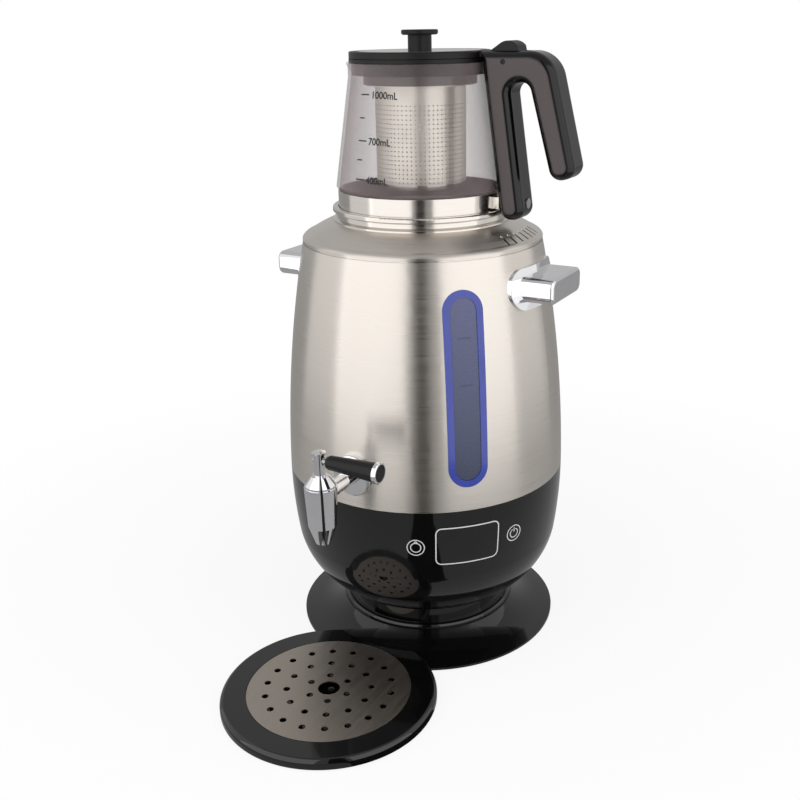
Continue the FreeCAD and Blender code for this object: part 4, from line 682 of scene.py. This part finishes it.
# %% Touch keys
KEY_TURN = math.radians(20.6)
KEY_RADIUS, KEY_LINE = 6.7 * MM, 0.7 * MM
INNER_RING, BROKEN_RING, RING_GAP = 4.1 * MM, 3.9 * MM, 1.5 * MM
PEAK_SIDE, PEAK_ASIDE, PEAK_RISE = 2.0 * MM, 0.65 * MM, 4.55 * MM
PEAK_TURN = math.radians(48)
POWER_STROKE, POWER_RISE = 3.6 * MM, 2.9 * MM

left_key = join_pieces([
    draw_ring(KEY_RADIUS, KEY_LINE),
    draw_ring(INNER_RING, KEY_LINE),
    draw_bar(PEAK_SIDE, KEY_LINE, at=(-PEAK_ASIDE, PEAK_RISE), turn=PEAK_TURN),
    draw_bar(PEAK_SIDE, KEY_LINE, at=(PEAK_ASIDE, PEAK_RISE), turn=-PEAK_TURN)])
lay_print(left_key, "bowl_housing", FRONT_AZIMUTH - KEY_TURN, BOWL_REACH, DISPLAY_HEIGHT)
end_piece(left_key, "warm_key_sign", "root", silver_ink)

broken_ring = draw_ring(BROKEN_RING, KEY_LINE)
select_where(broken_ring, "FACE", lambda p, f: p.y > 0 and abs(p.x) < RING_GAP)
bpy.ops.mesh.delete(type="FACE")
bpy.ops.object.mode_set(mode="OBJECT")
right_key = join_pieces([
    draw_ring(KEY_RADIUS, KEY_LINE), broken_ring,
    draw_bar(KEY_LINE, POWER_STROKE, at=(0, POWER_RISE))])
lay_print(right_key, "bowl_housing", FRONT_AZIMUTH + KEY_TURN, BOWL_REACH, DISPLAY_HEIGHT)
end_piece(right_key, "power_key_sign", "root", silver_ink)

# %% [markdown]
# ## The gauge's level marks
# Two thin lines across the window say where the water should stand.

# %% Level marks
LEVEL_HEIGHTS = [264 * MM, 230 * MM]
LEVEL_WIDE, LEVEL_LINE = 11 * MM, 0.6 * MM
window_low, window_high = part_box("gauge_window")
WINDOW_REACH = math.hypot(window_high.x, window_low.y)

for count, level in enumerate(LEVEL_HEIGHTS):
    mark = draw_bar(LEVEL_WIDE, LEVEL_LINE)
    lay_print(mark, "gauge_window", FRONT_AZIMUTH, WINDOW_REACH, level)
    end_piece(mark, f"level_mark_{count + 1}", "root", gauge_ink)

# %% [markdown]
# ## The studio
# The object stands on a pale floor in a white room. The floor is shaded like paper near
# the object, so that it keeps its shadow, and fades into the white of the room further
# out. What the camera and the glass see of floor and room is a plain white that lights
# nothing: only the lamps and a soft sky give light. The metal and the gloss plastic see
# the same room as pale grey, because the lamps face the object and not the walls.

# %% Floor
FLOOR_RADIUS = 4.0
SHADOW_NEAR, SHADOW_FAR = 0.2, 0.6
WHITE_NEAR = 0.87
PAPER = "#ffffff"
FLOOR_IN_MIRRORS = 0.34

start_afresh()
bpy.ops.mesh.primitive_circle_add(vertices=96, radius=FLOOR_RADIUS, fill_type="NGON")
floor = bpy.context.object
floor.name = "studio_floor"
paper, tree = new_finish("white_paper_floor")
path = add_node(tree, "ShaderNodeLightPath")
place = add_node(tree, "ShaderNodeTexCoord")
away = add_node(
    tree, "ShaderNodeVectorMath", None, {0: place.outputs["Object"]}, operation="LENGTH")
fade = add_node(
    tree, "ShaderNodeMapRange",
    {"From Min": SHADOW_NEAR, "From Max": SHADOW_FAR, "To Min": WHITE_NEAR, "To Max": 1.0},
    {"Value": away.outputs["Value"]})
seen = add_node(
    tree, "ShaderNodeMath", None,
    {0: path.outputs["Is Camera Ray"], 1: path.outputs["Is Glossy Ray"]},
    operation="MAXIMUM")
seen_or_through = add_node(
    tree, "ShaderNodeMath", None,
    {0: seen.outputs["Value"], 1: path.outputs["Is Transmission Ray"]},
    operation="MAXIMUM")
share = add_node(
    tree, "ShaderNodeMath", None,
    {0: seen_or_through.outputs["Value"], 1: fade.outputs["Result"]},
    operation="MULTIPLY")
matt = add_node(tree, "ShaderNodeBsdfDiffuse", {"Color": light_from(PAPER)})
whiteness = add_node(
    tree, "ShaderNodeMapRange", {"To Min": 1.0, "To Max": FLOOR_IN_MIRRORS},
    {"Value": path.outputs["Is Glossy Ray"]})
white = add_node(
    tree, "ShaderNodeEmission", {"Color": (1, 1, 1, 1)},
    {"Strength": whiteness.outputs["Result"]})
blend = add_node(
    tree, "ShaderNodeMixShader", None,
    {"Fac": share.outputs["Value"], 1: matt.outputs["BSDF"], 2: white.outputs["Emission"]})
add_node(tree, "ShaderNodeOutputMaterial", None, {"Surface": blend.outputs["Shader"]})
floor.data.materials.append(paper)
print("floor radius", FLOOR_RADIUS, "m")

# %% [markdown]
# The room is white to the camera and to glass, pale grey to mirrors, and a weak sky to
# matt surfaces. Two tall softboxes stand close in front, left and right, and are what
# makes the steel bright there. Two dimmer ones stand further round, so that the steel
# falls off toward its edges. The front pair leaves a gap where the photographer stands. A
# black cloth hangs in it and runs on along the floor: that is the dark upright band in the
# steel. The lamp overhead is kept out of the reflections.

# %% Room
SKY_LIGHT = 0.3
ROOM_IN_MIRRORS = 0.52

world = bpy.data.worlds.new("white_studio")
bpy.context.scene.world = world
world.use_nodes = True
tree = world.node_tree
tree.nodes.clear()
path = add_node(tree, "ShaderNodeLightPath")
seen = add_node(
    tree, "ShaderNodeMath", None,
    {0: path.outputs["Is Camera Ray"], 1: path.outputs["Is Transmission Ray"]},
    operation="MAXIMUM")
to_mirrors = add_node(
    tree, "ShaderNodeMapRange", {"To Min": SKY_LIGHT, "To Max": ROOM_IN_MIRRORS},
    {"Value": path.outputs["Is Glossy Ray"]})
level = add_node(
    tree, "ShaderNodeMapRange", {"To Max": 1.0},
    {"Value": seen.outputs["Value"], "To Min": to_mirrors.outputs["Result"]})
room = add_node(
    tree, "ShaderNodeBackground", {"Color": (1, 1, 1, 1)},
    {"Strength": level.outputs["Result"]})
add_node(tree, "ShaderNodeOutputWorld", None, {"Surface": room.outputs["Background"]})
print("sky light", SKY_LIGHT)

# %% Softboxes and the dark gap
SOFTBOX_RADIANCE, SIDE_RADIANCE, OVERHEAD_RADIANCE = 1.02, 0.45, 1.2
SOFTBOX_HEIGHT, SOFTBOX_HIGH = 0.5, 1.0
UPRIGHT_SOFTBOXES = [
    ("left_softbox", -104, 0.6, 0.68, SOFTBOX_RADIANCE),
    ("right_softbox", -18, 0.6, 0.68, SOFTBOX_RADIANCE),
    ("left_side_softbox", -152, 0.75, 0.6, SIDE_RADIANCE),
    ("right_side_softbox", 32, 0.75, 0.6, SIDE_RADIANCE),
]


def add_softbox(name, azimuth, elevation, distance, aim_height, wide, high, radiance):
    """An area lamp that faces the axis. A flat lamp gives pi times radiance times area."""
    a, e = math.radians(azimuth), math.radians(elevation)
    away = Vector((math.cos(a) * math.cos(e), math.sin(a) * math.cos(e), math.sin(e)))
    start_afresh()
    bpy.ops.object.light_add(
        type="AREA", location=away * distance + Vector((0, 0, aim_height)))
    lamp = bpy.context.object
    lamp.name = name
    lamp.data.shape = "RECTANGLE"
    lamp.data.size, lamp.data.size_y = wide, high
    lamp.data.energy = math.pi * radiance * wide * high
    lamp.rotation_euler = away.to_track_quat("Z", "Y").to_euler()
    lamp.visible_camera = False
    return lamp


for name, azimuth, distance, wide, radiance in UPRIGHT_SOFTBOXES:
    add_softbox(name, azimuth, 0, distance, SOFTBOX_HEIGHT, wide, SOFTBOX_HIGH, radiance)
overhead = add_softbox("overhead_softbox", -61, 88, 1.3, 0.2, 1.0, 1.0, OVERHEAD_RADIANCE)
overhead.visible_glossy = False

CARD_AZIMUTH = math.radians(-63.5)
CARD_DISTANCE, CARD_WIDE, CARD_HIGH, CARD_FOOT = 0.42, 0.085, 0.9, 0.27
CARD_CLEARANCE = 0.5 * MM
start_afresh()
bpy.ops.mesh.primitive_plane_add(size=1)
card = bpy.context.object
card.name = "dark_card"
card.scale = (CARD_WIDE, CARD_HIGH, 1)
card.rotation_euler = (math.radians(90), 0, CARD_AZIMUTH + math.radians(90))
card.location = (
    CARD_DISTANCE * math.cos(CARD_AZIMUTH), CARD_DISTANCE * math.sin(CARD_AZIMUTH),
    CARD_HIGH / 2 + CARD_CLEARANCE)
bpy.ops.object.transform_apply(location=True, rotation=True, scale=True)
select_where(card, "EDGE", lambda p, e: p.z < 2 * CARD_CLEARANCE)
towards_stand = Vector((math.cos(CARD_AZIMUTH), math.sin(CARD_AZIMUTH), 0)) * -CARD_FOOT
bpy.ops.mesh.extrude_region_move(TRANSFORM_OT_translate={"value": towards_stand})
bpy.ops.object.mode_set(mode="OBJECT")
card_cloth, tree = new_finish("black_flag_cloth")
cloth = add_node(tree, "ShaderNodeBsdfDiffuse", {"Color": light_from("#2c2926")})
add_node(tree, "ShaderNodeOutputMaterial", None, {"Surface": cloth.outputs["BSDF"]})
card.data.materials.append(card_cloth)
card.visible_camera = False
card.visible_shadow = False
card.visible_diffuse = False
card.visible_transmission = False
print("studio lit")
